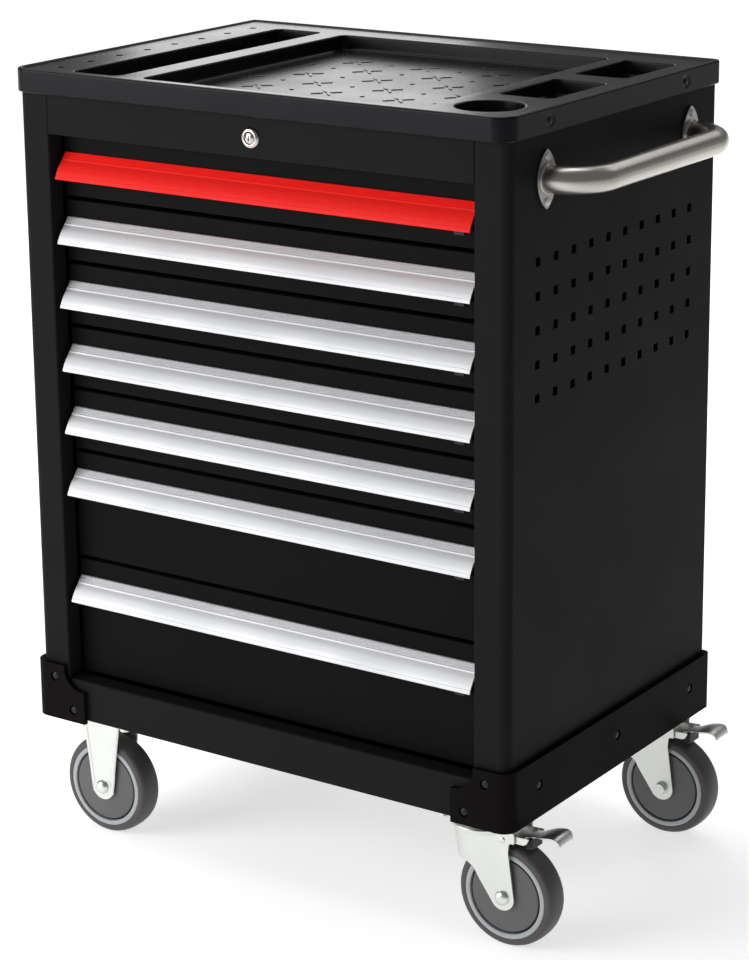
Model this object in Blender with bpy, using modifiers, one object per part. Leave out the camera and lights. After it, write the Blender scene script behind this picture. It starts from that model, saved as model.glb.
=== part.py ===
"""A rolling tool chest: a sheet-steel cabinet with seven drawers on telescopic slides, a moulded
worktop tray, corner bumpers, a side handle, a cylinder lock with its lock bar, and four casters.

Metres, +Z up, the drawers open towards -Y. The floor is at z = 0. Every sub-part is drawn from the
middle of the cabinet, and the empty "cabinet_centre" puts that middle beside the world's origin, so
that the origin is under the middle of the whole object, handle included.
"""

import math

import bmesh
import bpy
from mathutils import Matrix, Vector

# Cabinet
BODY_WIDTH = 0.675
BODY_DEPTH = 0.461
BODY_BOTTOM = 0.1535
BODY_TOP = 0.938
SHEET = 0.0012
GAP = 0.0003
HALF_WIDTH = BODY_WIDTH / 2
HALF_DEPTH = BODY_DEPTH / 2
POST_WIDTH = 0.044
POST_FOLD = 0.024
POST_HEM = 0.010
CORNER_RADIUS = 0.012
REAR_FLANGE = 0.020
OPENING_BOTTOM = 0.204
OPENING_TOP = 0.8805
OPENING_HALF = HALF_WIDTH - POST_WIDTH
TOP_PANEL_Z = 0.9262
BASE_PAN_EDGE = 0.020

# Square holes of the right side panel
HOLE_SIDE = 0.010
HOLE_PITCH = 0.038
HOLE_COLUMNS = 10
HOLE_ROWS = 5
HOLE_TOP_ROW = 0.791

# Worktop tray
TRAY_HALF_WIDTH = 0.341
TRAY_HALF_DEPTH = 0.2395
TRAY_BOTTOM = 0.929
TRAY_TOP = 0.9565
TRAY_WALL = 0.003
TRAY_FRONT_CORNER = 0.022
TRAY_REAR_CORNER = 0.010
RECESS_DEPTH = 0.0205
RECESS_CORNER = 0.010
MAIN_RECESS = (-0.165, 0.218, -0.215, 0.190)
TROUGH = (-0.268, -0.200, -0.215, 0.194)
FRONT_POCKET = (0.240, 0.309, -0.098, 0.026)
REAR_POCKET = (0.240, 0.309, 0.066, 0.188)
RECESSES = [MAIN_RECESS, TROUGH, FRONT_POCKET, REAR_POCKET]
CUP_CENTRE = (0.276, -0.170)
CUP_RADIUS = 0.0375
TOOL_HOLE_X = -0.299
TOOL_HOLE_RADIUS = 0.0045
TOOL_HOLE_START = -0.197
TOOL_HOLE_PITCH = 0.054
TOOL_HOLES = 8

# Bumpers
BUMPER_BOTTOM = 0.150
BUMPER_TOP = 0.2215
BUMPER_PROUD = 0.007
BUMPER_WALL = 0.0062
BUMPER_REACH = 0.071
BUMPER_FRONT_CORNER = 0.018
BUMPER_REAR_CORNER = 0.0085
NOTCH_RADIUS = 0.027
NOTCH_FLAT = 0.003

# Push handle
TUBE_RADIUS = 0.015
TUBE_BEND = 0.045
HANDLE_FRONT = -0.158
HANDLE_REAR = 0.166
HANDLE_Z = 0.8795
HANDLE_REACH = 0.053
FLANGE_LENGTH = 0.067
FLANGE_WIDTH = 0.038
FLANGE_THICKNESS = 0.003

# Drawers
SMALL_MODULE = 0.0776
MODULES = [SMALL_MODULE] * 5 + [0.136, 0.150]
DRAWER_GAP = 0.004
FIRST_FRONT_TOP = OPENING_BOTTOM + sum(MODULES)
FRONT_HALF_WIDTH = 0.291
FRONT_FACE = -HALF_DEPTH + POST_FOLD
FRONT_RETURN = 0.013
BOX_HALF_WIDTH = 0.278
BOX_BACK = 0.193
BOX_ABOVE_FRONT_EDGE = 0.005
BOX_BELOW_FRONT_TOP = 0.015
PULL_HALF_LENGTH = 0.287
PULL_BELOW_FRONT_TOP = 0.0205

# Telescopic slides: each member's x range, half height and y range
SLIDE_START = -0.191
SLIDE_END = 0.189
SLIDE_WALL = 0.0012
DRAWER_MEMBER = (0.2775, 0.2825, 0.008)
MIDDLE_MEMBER = (0.2805, 0.2874, 0.0125)
FIXED_MEMBER = (0.2830, 0.2912, 0.018)
UPRIGHT_WIDTH = 0.030
UPRIGHT_INNER = 0.2909
UPRIGHT_FRONT_Y = -0.185
UPRIGHT_REAR_Y = 0.150
UPRIGHT_BOTTOM = 0.1740
UPRIGHT_TOP = 0.918

# Lock
LOCK_X = 0.001
LOCK_Z = 0.9035
LOCK_BARREL = 0.0095
LOCK_BEZEL = 0.0125
LOCK_BORE = 0.0072
CYLINDER_RADIUS = 0.0067
CAM_RADIUS = 0.010
CAM_PIN = 0.002
BAR_LAYER = (-0.2045, -0.2015)
BAR_BOTTOM = 0.215

# Casters
WHEEL_RADIUS = 0.0625
WHEEL_HALF_WIDTH = 0.016
WHEEL_STEPS = 32
WHEEL_BORE = 0.0054
AXLE_RADIUS = 0.005
FRONT_CASTER_Y = -0.194
REAR_CASTER_Y = 0.180
SWIVEL_X = 0.284
FIXED_X = -0.260
TRAIL = 0.038
LEG_INNER = 0.0192
LEG_WALL = 0.0025
PLATE_TOP = BODY_BOTTOM - GAP
PLATE_THICKNESS = 0.003
PLATE_SIZE = (0.100, 0.062)
PEDAL_PIVOT = (0.045, 0.1335)
CROWN_BOTTOM = 0.1371
CROWN_TOP = 0.1432

# The handle stands out on the right and the bumper on the left: the origin is halfway
CABINET_OFFSET_X = -(HANDLE_REACH + TUBE_RADIUS - BUMPER_PROUD) / 2

COLLECTION_NAME = "rolling_tool_chest"


def fresh_scene():
    """Empties the scene and returns the collection and the empty that hold the parts."""
    for old in list(bpy.data.objects):
        bpy.data.objects.remove(old, do_unlink=True)
    collection = bpy.data.collections.new(COLLECTION_NAME)
    bpy.context.scene.collection.children.link(collection)
    centre = bpy.data.objects.new("cabinet_centre", None)
    centre.location = (CABINET_OFFSET_X, 0, 0)
    collection.objects.link(centre)
    return collection, centre


PARTS, CENTRE = fresh_scene()


def material(name, colour, roughness, metallic):
    made = bpy.data.materials.new(name)
    made.use_nodes = True
    shader = made.node_tree.nodes["Principled BSDF"]
    shader.inputs["Base Color"].default_value = (*colour, 1)
    shader.inputs["Roughness"].default_value = roughness
    shader.inputs["Metallic"].default_value = metallic
    made.diffuse_color = (*colour, 1)
    return made


BLACK_COAT = material("black_powder_coat", (0.022, 0.022, 0.024), 0.42, 0.0)
BLACK_PLASTIC = material("black_plastic", (0.028, 0.028, 0.032), 0.38, 0.0)
BUMPER_PLASTIC = material("bumper_plastic", (0.018, 0.016, 0.015), 0.50, 0.0)
ALUMINIUM = material("silver_aluminium", (0.78, 0.78, 0.79), 0.30, 1.0)
RED_ANODISED = material("red_anodised", (0.85, 0.030, 0.022), 0.35, 0.2)
STAINLESS = material("stainless_tube", (0.68, 0.66, 0.63), 0.26, 1.0)
ZINC = material("zinc_plate", (0.70, 0.70, 0.70), 0.32, 1.0)
CHROME = material("chrome", (0.80, 0.80, 0.82), 0.12, 1.0)
TREAD_RUBBER = material("grey_tread", (0.115, 0.112, 0.115), 0.60, 0.0)


# Shape helpers. Each returns an object drawn in the cabinet's coordinates.


def new_object(mesh):
    made = bpy.data.objects.new("piece", mesh)
    PARTS.objects.link(made)
    made.parent = CENTRE
    return made


def bake(obj):
    """Replaces the object's mesh by its evaluated one, with its modifiers applied."""
    graph = bpy.context.evaluated_depsgraph_get()
    mesh = bpy.data.meshes.new_from_object(obj.evaluated_get(graph))
    obj.modifiers.clear()
    obj.data = mesh


def combine(target, tool, operation):
    """Joins the tool to the target, or cuts it from the target, and removes the tool."""
    modifier = target.modifiers.new("combine", "BOOLEAN")
    modifier.operation = operation
    modifier.solver = "EXACT"
    modifier.object = tool
    bake(target)
    bpy.data.objects.remove(tool, do_unlink=True)
    return target


def union(first, *others):
    for other in others:
        combine(first, other, "UNION")
    return first


def cut(first, *tools):
    for tool in tools:
        combine(first, tool, "DIFFERENCE")
    return first


def finished(obj, name, finish, origin=(0, 0, 0), smooth_angle=30):
    """Names the sub-part, gives it its finish and sets its origin."""
    obj.name = name
    obj.data.name = name
    obj.data.materials.clear()
    obj.data.materials.append(finish)
    obj.data.transform(Matrix.Translation(-Vector(origin)))
    obj.location = origin
    obj.data.shade_smooth()
    obj.data.set_sharp_from_angle(angle=math.radians(smooth_angle))
    return obj


def block(low, high):
    low, high = Vector(low), Vector(high)
    shape = bmesh.new()
    bmesh.ops.create_cube(shape, size=1)
    size = Matrix.Diagonal((*(high - low), 1))
    bmesh.ops.transform(shape, matrix=Matrix.Translation((low + high) / 2) @ size, verts=shape.verts)
    return from_bmesh(shape)


def from_bmesh(shape):
    mesh = bpy.data.meshes.new("piece")
    shape.to_mesh(mesh)
    shape.free()
    return new_object(mesh)


# Takes a shape drawn along local Z to the axis named
TURN = {
    "X": Matrix(((0, 0, 1, 0), (1, 0, 0, 0), (0, 1, 0, 0), (0, 0, 0, 1))),
    "Y": Matrix(((1, 0, 0, 0), (0, 0, -1, 0), (0, 1, 0, 0), (0, 0, 0, 1))),
    "Z": Matrix.Identity(4),
}


def rod(axis, radius, start, end, across, segments=20):
    """A cylinder along an axis from start to end. across is its place on the other two axes."""
    shape = bmesh.new()
    bmesh.ops.create_cone(
        shape, cap_ends=True, segments=segments, radius1=radius, radius2=radius, depth=end - start
    )
    centre = placed(axis, across, (start + end) / 2)
    bmesh.ops.transform(shape, matrix=Matrix.Translation(centre) @ TURN[axis], verts=shape.verts)
    return from_bmesh(shape)


def placed(axis, across, along):
    """The point at across, on the two other axes in X, Y, Z order, and along the axis."""
    first, second = across
    return {
        "X": Vector((along, first, second)),
        "Y": Vector((first, along, second)),
        "Z": Vector((first, second, along)),
    }[axis]


def arc(centre, radius, start, end, steps):
    """Points on a circle from one angle to another, in degrees."""
    points = []
    for i in range(steps + 1):
        angle = math.radians(start + (end - start) * i / steps)
        points.append((centre[0] + radius * math.cos(angle), centre[1] + radius * math.sin(angle)))
    return points


def rounded_rectangle(low_x, high_x, low_y, high_y, radius, steps=4, rear_radius=None):
    """Corners of one radius, or of another at the rear, where y is high."""
    rear = rear_radius or radius
    corners = [
        (high_x - radius, low_y + radius, radius),
        (high_x - rear, high_y - rear, rear),
        (low_x + rear, high_y - rear, rear),
        (low_x + radius, low_y + radius, radius),
    ]
    outline = []
    for quarter, (x, y, size) in enumerate(corners):
        start = 90 * quarter - 90
        outline += arc((x, y), size, start, start + 90, steps)
    return outline


def plate(outline, axis, start, end):
    """A flat outline with a thickness from start to end along the axis."""
    curve = bpy.data.curves.new("outline", "CURVE")
    curve.dimensions = "2D"
    curve.fill_mode = "BOTH"
    curve.extrude = (end - start) / 2
    spline = curve.splines.new("POLY")
    spline.points.add(len(outline) - 1)
    for point, (x, y) in zip(spline.points, outline):
        point.co = (x, y, 0, 1)
    spline.use_cyclic_u = True
    middle = placed(axis, (0, 0), (start + end) / 2)
    return mesh_from_curve(curve, Matrix.Translation(middle) @ TURN[axis])


def mesh_from_curve(curve, matrix):
    guide = bpy.data.objects.new("guide", curve)
    PARTS.objects.link(guide)
    graph = bpy.context.evaluated_depsgraph_get()
    mesh = bpy.data.meshes.new_from_object(guide.evaluated_get(graph))
    bpy.data.objects.remove(guide, do_unlink=True)
    shape = bmesh.new()
    shape.from_mesh(mesh)
    bmesh.ops.remove_doubles(shape, verts=shape.verts, dist=1e-6)
    bmesh.ops.recalc_face_normals(shape, faces=shape.faces)
    bmesh.ops.transform(shape, matrix=matrix, verts=shape.verts)
    return from_bmesh(shape)


def folded_sheet(path, axis, start, end, thickness=SHEET):
    """A sheet folded along a path and long from start to end. Its metal is left of the path."""
    if axis == "Y":
        start, end = end, start
    shape = bmesh.new()
    rows = [[shape.verts.new(placed(axis, p, along)) for p in path] for along in (start, end)]
    for i in range(len(path) - 1):
        shape.faces.new((rows[0][i], rows[0][i + 1], rows[1][i + 1], rows[1][i]))
    sheet = from_bmesh(shape)
    thicken(sheet, thickness)
    return sheet


def thicken(sheet, thickness):
    solidify = sheet.modifiers.new("thickness", "SOLIDIFY")
    solidify.thickness = thickness
    solidify.offset = -1
    solidify.use_even_offset = True
    bake(sheet)


def open_box(low, high, open_sides, thickness=SHEET):
    """A box of sheet whose outside is low to high, without the sides named, such as "+Z"."""
    box = block(low, high)
    shape = bmesh.new()
    shape.from_mesh(box.data)
    bpy.data.objects.remove(box, do_unlink=True)
    bmesh.ops.recalc_face_normals(shape, faces=shape.faces)
    for side in open_sides:
        direction = Vector([(side[1] == letter) * (1 if side[0] == "+" else -1) for letter in "XYZ"])
        away = [face for face in shape.faces if face.normal.dot(direction) > 0.9]
        bmesh.ops.delete(shape, geom=away, context="FACES")
    sheet = from_bmesh(shape)
    thicken(sheet, thickness)
    return sheet


def turned(profile, steps, axis, place, closed=False):
    """A profile of (radius, height) points, top to bottom on its outside, turned about an axis."""
    mesh = bpy.data.meshes.new("profile")
    edges = [(i, i + 1) for i in range(len(profile) - 1)]
    if closed:
        edges.append((len(profile) - 1, 0))
    mesh.from_pydata([(radius, 0, height) for radius, height in profile], edges, [])
    shape = new_object(mesh)
    screw = shape.modifiers.new("turn", "SCREW")
    screw.steps = steps
    screw.render_steps = steps
    screw.use_merge_vertices = True
    screw.merge_threshold = 0.00001
    bake(shape)
    shape.data.transform(Matrix.Translation(place) @ TURN[axis])
    return shape


def rounded_edges(obj, width, segments=2, angle=40):
    bevel = obj.modifiers.new("edges", "BEVEL")
    bevel.width = width
    bevel.segments = segments
    bevel.limit_method = "ANGLE"
    bevel.angle_limit = math.radians(angle)
    bake(obj)
    return obj


# Cabinet


def side_panel_path():
    """Plan of the right side panel: rear flange, side, rounded front corner, post and its fold."""
    corner = arc(
        (HALF_WIDTH - CORNER_RADIUS, -HALF_DEPTH + CORNER_RADIUS), CORNER_RADIUS, 0, -90, 5
    )
    return [
        (HALF_WIDTH - REAR_FLANGE, HALF_DEPTH),
        (HALF_WIDTH, HALF_DEPTH),
        *corner,
        (OPENING_HALF, -HALF_DEPTH),
        (OPENING_HALF, FRONT_FACE),
        (OPENING_HALF + POST_HEM, FRONT_FACE),
    ]


def side_panels():
    path = side_panel_path()
    right = folded_sheet(path[::-1], "Z", BODY_BOTTOM, BODY_TOP)
    left = folded_sheet([(-x, y) for x, y in path], "Z", BODY_BOTTOM, BODY_TOP)
    cut(right, hook_holes())
    finished(left, "left_side_panel", BLACK_COAT)
    finished(right, "right_side_panel", BLACK_COAT)


def hook_holes():
    """One cutter with a square bar for each hook hole."""
    shape = bmesh.new()
    first_y = -HOLE_PITCH * (HOLE_COLUMNS - 1) / 2
    bar = Matrix.Diagonal((5 * HOLE_SIDE, HOLE_SIDE, HOLE_SIDE, 1))
    for column in range(HOLE_COLUMNS):
        for row in range(HOLE_ROWS):
            centre = (HALF_WIDTH, first_y + HOLE_PITCH * column, HOLE_TOP_ROW - HOLE_PITCH * row)
            bmesh.ops.create_cube(shape, size=1, matrix=Matrix.Translation(centre) @ bar)
    return from_bmesh(shape)


def inner_panels():
    inner_half = HALF_WIDTH - SHEET - GAP
    back_face = HALF_DEPTH - SHEET - GAP
    back = block(
        (-inner_half, back_face - SHEET, BODY_BOTTOM), (inner_half, back_face, BODY_TOP)
    )
    finished(back, "back_panel", BLACK_COAT)
    back_inner = back_face - SHEET - GAP
    top = block(
        (-inner_half, FRONT_FACE + SHEET + GAP, TOP_PANEL_Z),
        (inner_half, back_inner, TOP_PANEL_Z + SHEET),
    )
    finished(top, "top_panel", BLACK_COAT)
    base = open_box(
        (-inner_half, -HALF_DEPTH + SHEET + GAP, BODY_BOTTOM),
        (inner_half, back_inner, BODY_BOTTOM + BASE_PAN_EDGE),
        ["+Z"],
    )
    cut(base, post_room(-1), post_room(1))
    finished(base, "base_pan", BLACK_COAT)


def post_room(side):
    """The space of a side panel's post, its fold and its hem, with a gap round them."""
    near, far = OPENING_HALF - GAP, HALF_WIDTH + GAP
    low_x, high_x = sorted((side * near, side * far))
    return block(
        (low_x, -HALF_DEPTH - 0.01, BODY_BOTTOM - 0.01),
        (high_x, FRONT_FACE + SHEET + GAP, BODY_BOTTOM + 2 * BASE_PAN_EDGE),
    )


def front_rails():
    half = OPENING_HALF - GAP
    sill_back = FRONT_FACE - GAP
    kick_path = [
        (sill_back, OPENING_BOTTOM),
        (-HALF_DEPTH, OPENING_BOTTOM),
        (-HALF_DEPTH, BODY_BOTTOM),
    ]
    finished(folded_sheet(kick_path, "X", -half, half), "kick_rail", BLACK_COAT)
    lock_path = [(-HALF_DEPTH, BODY_TOP), (-HALF_DEPTH, OPENING_TOP), (sill_back, OPENING_TOP)]
    rail = folded_sheet(lock_path, "X", -half, half)
    hole = rod("Y", LOCK_BARREL + GAP, -HALF_DEPTH - 0.01, -HALF_DEPTH + 0.01, (LOCK_X, LOCK_Z))
    cut(rail, hole)
    finished(rail, "lock_rail", BLACK_COAT)


# Worktop tray


def tray_outline(inset):
    return rounded_rectangle(
        -TRAY_HALF_WIDTH + inset,
        TRAY_HALF_WIDTH - inset,
        -TRAY_HALF_DEPTH + inset,
        TRAY_HALF_DEPTH - inset,
        TRAY_FRONT_CORNER - inset,
        5,
        TRAY_REAR_CORNER - inset,
    )


def worktop_tray():
    tray = plate(tray_outline(0), "Z", TRAY_BOTTOM, TRAY_TOP)
    inner = tray_outline(TRAY_WALL)
    underside = plate(inner, "Z", TRAY_BOTTOM - 0.01, TRAY_TOP - TRAY_WALL)
    tub_bottom = TRAY_TOP - RECESS_DEPTH - TRAY_WALL
    for low_x, high_x, low_y, high_y in RECESSES:
        tub = rounded_rectangle(
            low_x - TRAY_WALL,
            high_x + TRAY_WALL,
            low_y - TRAY_WALL,
            high_y + TRAY_WALL,
            RECESS_CORNER + TRAY_WALL,
        )
        cut(underside, plate(tub, "Z", tub_bottom, TRAY_TOP))
    cut(underside, rod("Z", CUP_RADIUS + TRAY_WALL, tub_bottom, TRAY_TOP, CUP_CENTRE, 32))
    cut(tray, underside)
    floor = TRAY_TOP - RECESS_DEPTH
    for low_x, high_x, low_y, high_y in RECESSES:
        recess = rounded_rectangle(low_x, high_x, low_y, high_y, RECESS_CORNER)
        cut(tray, plate(recess, "Z", floor, TRAY_TOP + 0.01))
    cut(tray, rod("Z", CUP_RADIUS, floor, TRAY_TOP + 0.01, CUP_CENTRE, 32))
    for i in range(TOOL_HOLES):
        across = (TOOL_HOLE_X, TOOL_HOLE_START + TOOL_HOLE_PITCH * i)
        cut(tray, rod("Z", TOOL_HOLE_RADIUS, TRAY_BOTTOM, TRAY_TOP + 0.01, across, 12))
    finished(tray, "worktop_tray", BLACK_PLASTIC)


# Bumpers


def bumper(side):
    """A bumper that runs along one side of the cabinet's foot and round both of its corners."""
    outer_x = HALF_WIDTH + BUMPER_PROUD
    outer_y = HALF_DEPTH + BUMPER_PROUD
    start_x = HALF_WIDTH - BUMPER_REACH
    front, rear = BUMPER_FRONT_CORNER, BUMPER_REAR_CORNER
    path = [(start_x, -outer_y), *arc((outer_x - front, -outer_y + front), front, -90, 0, 5)]
    path += [*arc((outer_x - rear, outer_y - rear), rear, 0, 90, 4), (start_x, outer_y)]
    if side < 0:
        path = [(-x, y) for x, y in path][::-1]
    shape = folded_sheet(path, "Z", BUMPER_BOTTOM, BUMPER_TOP, BUMPER_WALL)
    across = (side * (start_x + NOTCH_FLAT), BUMPER_TOP - NOTCH_FLAT)
    return cut(shape, rod("Y", NOTCH_RADIUS, -0.3, 0.3, across, 32))


def bumpers():
    for side, word in ((-1, "left"), (1, "right")):
        shape = rounded_edges(bumper(side), 0.0015, 1, 60)
        finished(shape, f"{word}_bumper", BUMPER_PLASTIC)


# Push handle


def handle_path():
    """The tube's middle line, from one flange round both bends to the other."""
    bar_x = HALF_WIDTH + HANDLE_REACH
    bend_x = bar_x - TUBE_BEND
    front, rear = HANDLE_FRONT + TUBE_BEND, HANDLE_REAR - TUBE_BEND
    root_x = HALF_WIDTH + GAP + FLANGE_THICKNESS / 2
    line = [(root_x, HANDLE_FRONT), *arc((bend_x, front), TUBE_BEND, -90, 0, 7)]
    line += [*arc((bend_x, rear), TUBE_BEND, 0, 90, 7), (root_x, HANDLE_REAR)]
    return [Vector((x, y, HANDLE_Z)) for x, y in line]


def tube(points, radius, resolution):
    curve = bpy.data.curves.new("tube", "CURVE")
    curve.dimensions = "3D"
    curve.bevel_depth = radius
    curve.bevel_resolution = resolution
    curve.use_fill_caps = True
    spline = curve.splines.new("POLY")
    spline.points.add(len(points) - 1)
    for point, place in zip(spline.points, points):
        point.co = (*place, 1)
    return mesh_from_curve(curve, Matrix.Identity(4))


def flange_outline(y):
    """A lens with rounded tips, tall in Z, about the tube's end."""
    half_length, half_width = FLANGE_LENGTH / 2, FLANGE_WIDTH / 2
    side_radius = (half_length**2 + half_width**2) / (2 * half_width)
    reach = math.degrees(math.asin(half_length / side_radius)) - 9
    right = arc((y + half_width - side_radius, HANDLE_Z), side_radius, -reach, reach, 8)
    left = arc((y - half_width + side_radius, HANDLE_Z), side_radius, 180 - reach, 180 + reach, 8)
    top, bottom = (y, HANDLE_Z + half_length - 0.002), (y, HANDLE_Z - half_length + 0.002)
    return [*right, top, *left, bottom]


def push_handle():
    shape = tube(handle_path(), TUBE_RADIUS, 4)
    start = HALF_WIDTH + GAP
    for y in (HANDLE_FRONT, HANDLE_REAR):
        union(shape, plate(flange_outline(y), "X", start, start + FLANGE_THICKNESS))
    finished(shape, "push_handle", STAINLESS)


# Drawers and slides


def front_top(number):
    return FIRST_FRONT_TOP - sum(MODULES[: number - 1])


def front_bottom(number):
    return front_top(number) - MODULES[number - 1] + DRAWER_GAP


def box_range(number):
    """Lowest and highest z of a drawer's box."""
    return front_bottom(number) + BOX_ABOVE_FRONT_EDGE, front_top(number) - BOX_BELOW_FRONT_TOP


def slide_height(number):
    low, high = box_range(number)
    return (low + high) / 2


def drawer_box(number):
    """A folded front pan, open behind, and an open-topped box with a slide member on each side."""
    pan = open_box(
        (-FRONT_HALF_WIDTH, FRONT_FACE, front_bottom(number)),
        (FRONT_HALF_WIDTH, FRONT_FACE + FRONT_RETURN, front_top(number)),
        ["+Y"],
    )
    low, high = box_range(number)
    box = open_box(
        (-BOX_HALF_WIDTH, FRONT_FACE + SHEET / 2, low), (BOX_HALF_WIDTH, BOX_BACK, high), ["+Z", "-Y"]
    )
    union(pan, box)
    inner, outer, half_height = DRAWER_MEMBER
    middle = slide_height(number)
    for side in (-1, 1):
        xs = sorted((side * inner, side * outer))
        member = block(
            (xs[0], SLIDE_START, middle - half_height), (xs[1], SLIDE_END, middle + half_height)
        )
        union(pan, member)
    finished(pan, f"drawer_{number}_box", BLACK_COAT, (0, FRONT_FACE, low))


def pull_outline(top):
    """Section of a pull, as (y, z): a sloping strip, a face that swells forward and a lip."""
    forward_and_down = [
        (0.0003, 0.0),
        (0.0025, 0.0),
        (0.0080, 0.0072),
        (0.0090, 0.0088),
        (0.0140, 0.0142),
        (0.0184, 0.0205),
        (0.0213, 0.0262),
        (0.0222, 0.0285),
        (0.0215, 0.0302),
        (0.0200, 0.0298),
        (0.0193, 0.0270),
        (0.0165, 0.0215),
        (0.0120, 0.0158),
        (0.0070, 0.0108),
        (0.0022, 0.0100),
        (0.0022, 0.0240),
        (0.0003, 0.0240),
    ]
    return [(FRONT_FACE - forward, top - down) for forward, down in forward_and_down]


def drawer_pull(number):
    top = front_top(number) - PULL_BELOW_FRONT_TOP
    pull = plate(pull_outline(top), "X", -PULL_HALF_LENGTH, PULL_HALF_LENGTH)
    finish = RED_ANODISED if number == 1 else ALUMINIUM
    finished(pull, f"drawer_{number}_pull", finish, (0, FRONT_FACE, top))


def channel_outline(member, side, height):
    """Section of a channel, as (x, z), with its open side towards the drawer."""
    inner, outer, half_height = member
    wall = SLIDE_WALL
    outline = [
        (inner, half_height),
        (outer, half_height),
        (outer, -half_height),
        (inner, -half_height),
        (inner, -half_height + wall),
        (outer - wall, -half_height + wall),
        (outer - wall, half_height - wall),
        (inner, half_height - wall),
    ]
    return [(side * x, height + z) for x, z in outline]


def middle_members(number):
    for side, word in ((-1, "left"), (1, "right")):
        height = slide_height(number)
        outline = channel_outline(MIDDLE_MEMBER, side, height)
        shape = plate(outline, "Y", SLIDE_START, SLIDE_END)
        origin = (side * MIDDLE_MEMBER[1], SLIDE_START, height)
        finished(shape, f"drawer_{number}_{word}_slide", ZINC, origin)


def slide_rack(side, word):
    """Two upright channels against the side panel, with the fixed slide member of every drawer."""
    reach = HALF_WIDTH - SHEET - GAP
    uprights = []
    for start_y in (UPRIGHT_FRONT_Y, UPRIGHT_REAR_Y):
        end_y = start_y + UPRIGHT_WIDTH
        path = [(reach, start_y), (UPRIGHT_INNER, start_y), (UPRIGHT_INNER, end_y), (reach, end_y)]
        path = [(side * x, y) for x, y in path[::-side]]
        uprights.append(folded_sheet(path, "Z", UPRIGHT_BOTTOM, UPRIGHT_TOP))
    rack = union(*uprights)
    for number in range(1, len(MODULES) + 1):
        outline = channel_outline(FIXED_MEMBER, side, slide_height(number))
        union(rack, plate(outline, "Y", SLIDE_START, SLIDE_END))
    finished(rack, f"{word}_slide_rack", BLACK_COAT)


# Lock


def lock():
    front = -HALF_DEPTH
    place = (LOCK_X, front, LOCK_Z)
    body_profile = [
        (LOCK_BORE, 0.0030),
        (LOCK_BEZEL - 0.001, 0.0030),
        (LOCK_BEZEL, 0.0020),
        (LOCK_BEZEL, GAP),
        (LOCK_BARREL, GAP),
        (LOCK_BARREL, -0.0180),
        (LOCK_BORE, -0.0180),
    ]
    body = turned(body_profile, 28, "Y", place, closed=True)
    finished(body, "lock_body", CHROME, place)
    across = (LOCK_X, LOCK_Z)
    plug = rod("Y", CYLINDER_RADIUS, front - 0.0024, front + 0.0205, across)
    slot = block(
        (LOCK_X - 0.0010, front - 0.01, LOCK_Z - 0.0040),
        (LOCK_X + 0.0010, front + 0.006, LOCK_Z + 0.0040),
    )
    cut(plug, slot)
    cam_outline = [
        *arc((LOCK_X, LOCK_Z), 0.0060, 90, 270, 8),
        *arc((LOCK_X + CAM_RADIUS, LOCK_Z), 0.0040, -90, 90, 6),
    ]
    union(plug, plate(cam_outline, "Y", front + 0.0195, front + 0.0215))
    pin_end = BAR_LAYER[1] + 0.0010
    pin = rod("Y", CAM_PIN, front + 0.0200, pin_end, (LOCK_X + CAM_RADIUS, LOCK_Z), 10)
    finished(union(plug, pin), "lock_cylinder", CHROME, place)


def lock_bar():
    """An arm over the drawers to the right post and a bar down behind it, with a lug per drawer."""
    front, back = BAR_LAYER
    bar_low, bar_high = OPENING_HALF + 0.012, OPENING_HALF + 0.026
    arm_low, arm_high = LOCK_Z - 0.0105, LOCK_Z + 0.0105
    arm_start = LOCK_X - 0.012
    outline = [
        (arm_start, arm_low),
        (bar_low, arm_low),
        (bar_low, BAR_BOTTOM),
        (bar_high, BAR_BOTTOM),
        (bar_high, arm_high),
        (arm_start, arm_high),
    ]
    bar = plate(outline, "Y", front, back)
    window = block(
        (LOCK_X - 0.0035, front - 0.01, LOCK_Z - 0.0032),
        (LOCK_X + CAM_RADIUS + 0.0035, back + 0.01, LOCK_Z + 0.0055),
    )
    cut(bar, window)
    for number in range(1, len(MODULES) + 1):
        height = slide_height(number)
        lug = block(
            (bar_low - 0.008, front, height - 0.006), (bar_low + 0.002, back, height + 0.006)
        )
        union(bar, lug)
    finished(bar, "lock_bar", ZINC, (bar_high, front, arm_low))


# Casters


def caster_wheel(name, x, y):
    half = WHEEL_HALF_WIDTH
    side = [
        (WHEEL_BORE, half + 0.0015),
        (0.0445, half + 0.0015),
        (0.0456, half - 0.0020),
        (0.0500, half - 0.0020),
        (0.0515, half),
        (WHEEL_RADIUS - 0.0035, half),
        (WHEEL_RADIUS, half - 0.0035),
    ]
    profile = side + [(radius, -height) for radius, height in reversed(side)]
    centre = (x, y, WHEEL_RADIUS)
    finished(turned(profile, WHEEL_STEPS, "Y", centre, closed=True), name, TREAD_RUBBER, centre)


def caster_axle(name, x, y):
    """A bolt through both legs, with a low dome at each end."""
    outer = LEG_INNER + LEG_WALL + GAP
    half = [
        (0.0, outer + 0.0050),
        (0.0055, outer + 0.0042),
        (0.0085, outer + 0.0018),
        (0.0085, outer),
        (AXLE_RADIUS, outer),
    ]
    profile = half + [(radius, -height) for radius, height in reversed(half)]
    centre = (x, y, WHEEL_RADIUS)
    finished(turned(profile, 16, "Y", centre), name, ZINC, centre)


def caster_plate(x, y):
    length, width = PLATE_SIZE
    outline = rounded_rectangle(
        x - length / 2, x + length / 2, y - width / 2, y + width / 2, 0.008, 2
    )
    return plate(outline, "Z", PLATE_TOP - PLATE_THICKNESS, PLATE_TOP)


def legs(outline, y):
    """A pair of legs with the same outline, one at each side of the wheel."""
    pair = []
    for side in (-1, 1):
        faces = sorted((y + side * LEG_INNER, y + side * (LEG_INNER + LEG_WALL)))
        pair.append(plate(outline, "Y", *faces))
    return pair


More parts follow.
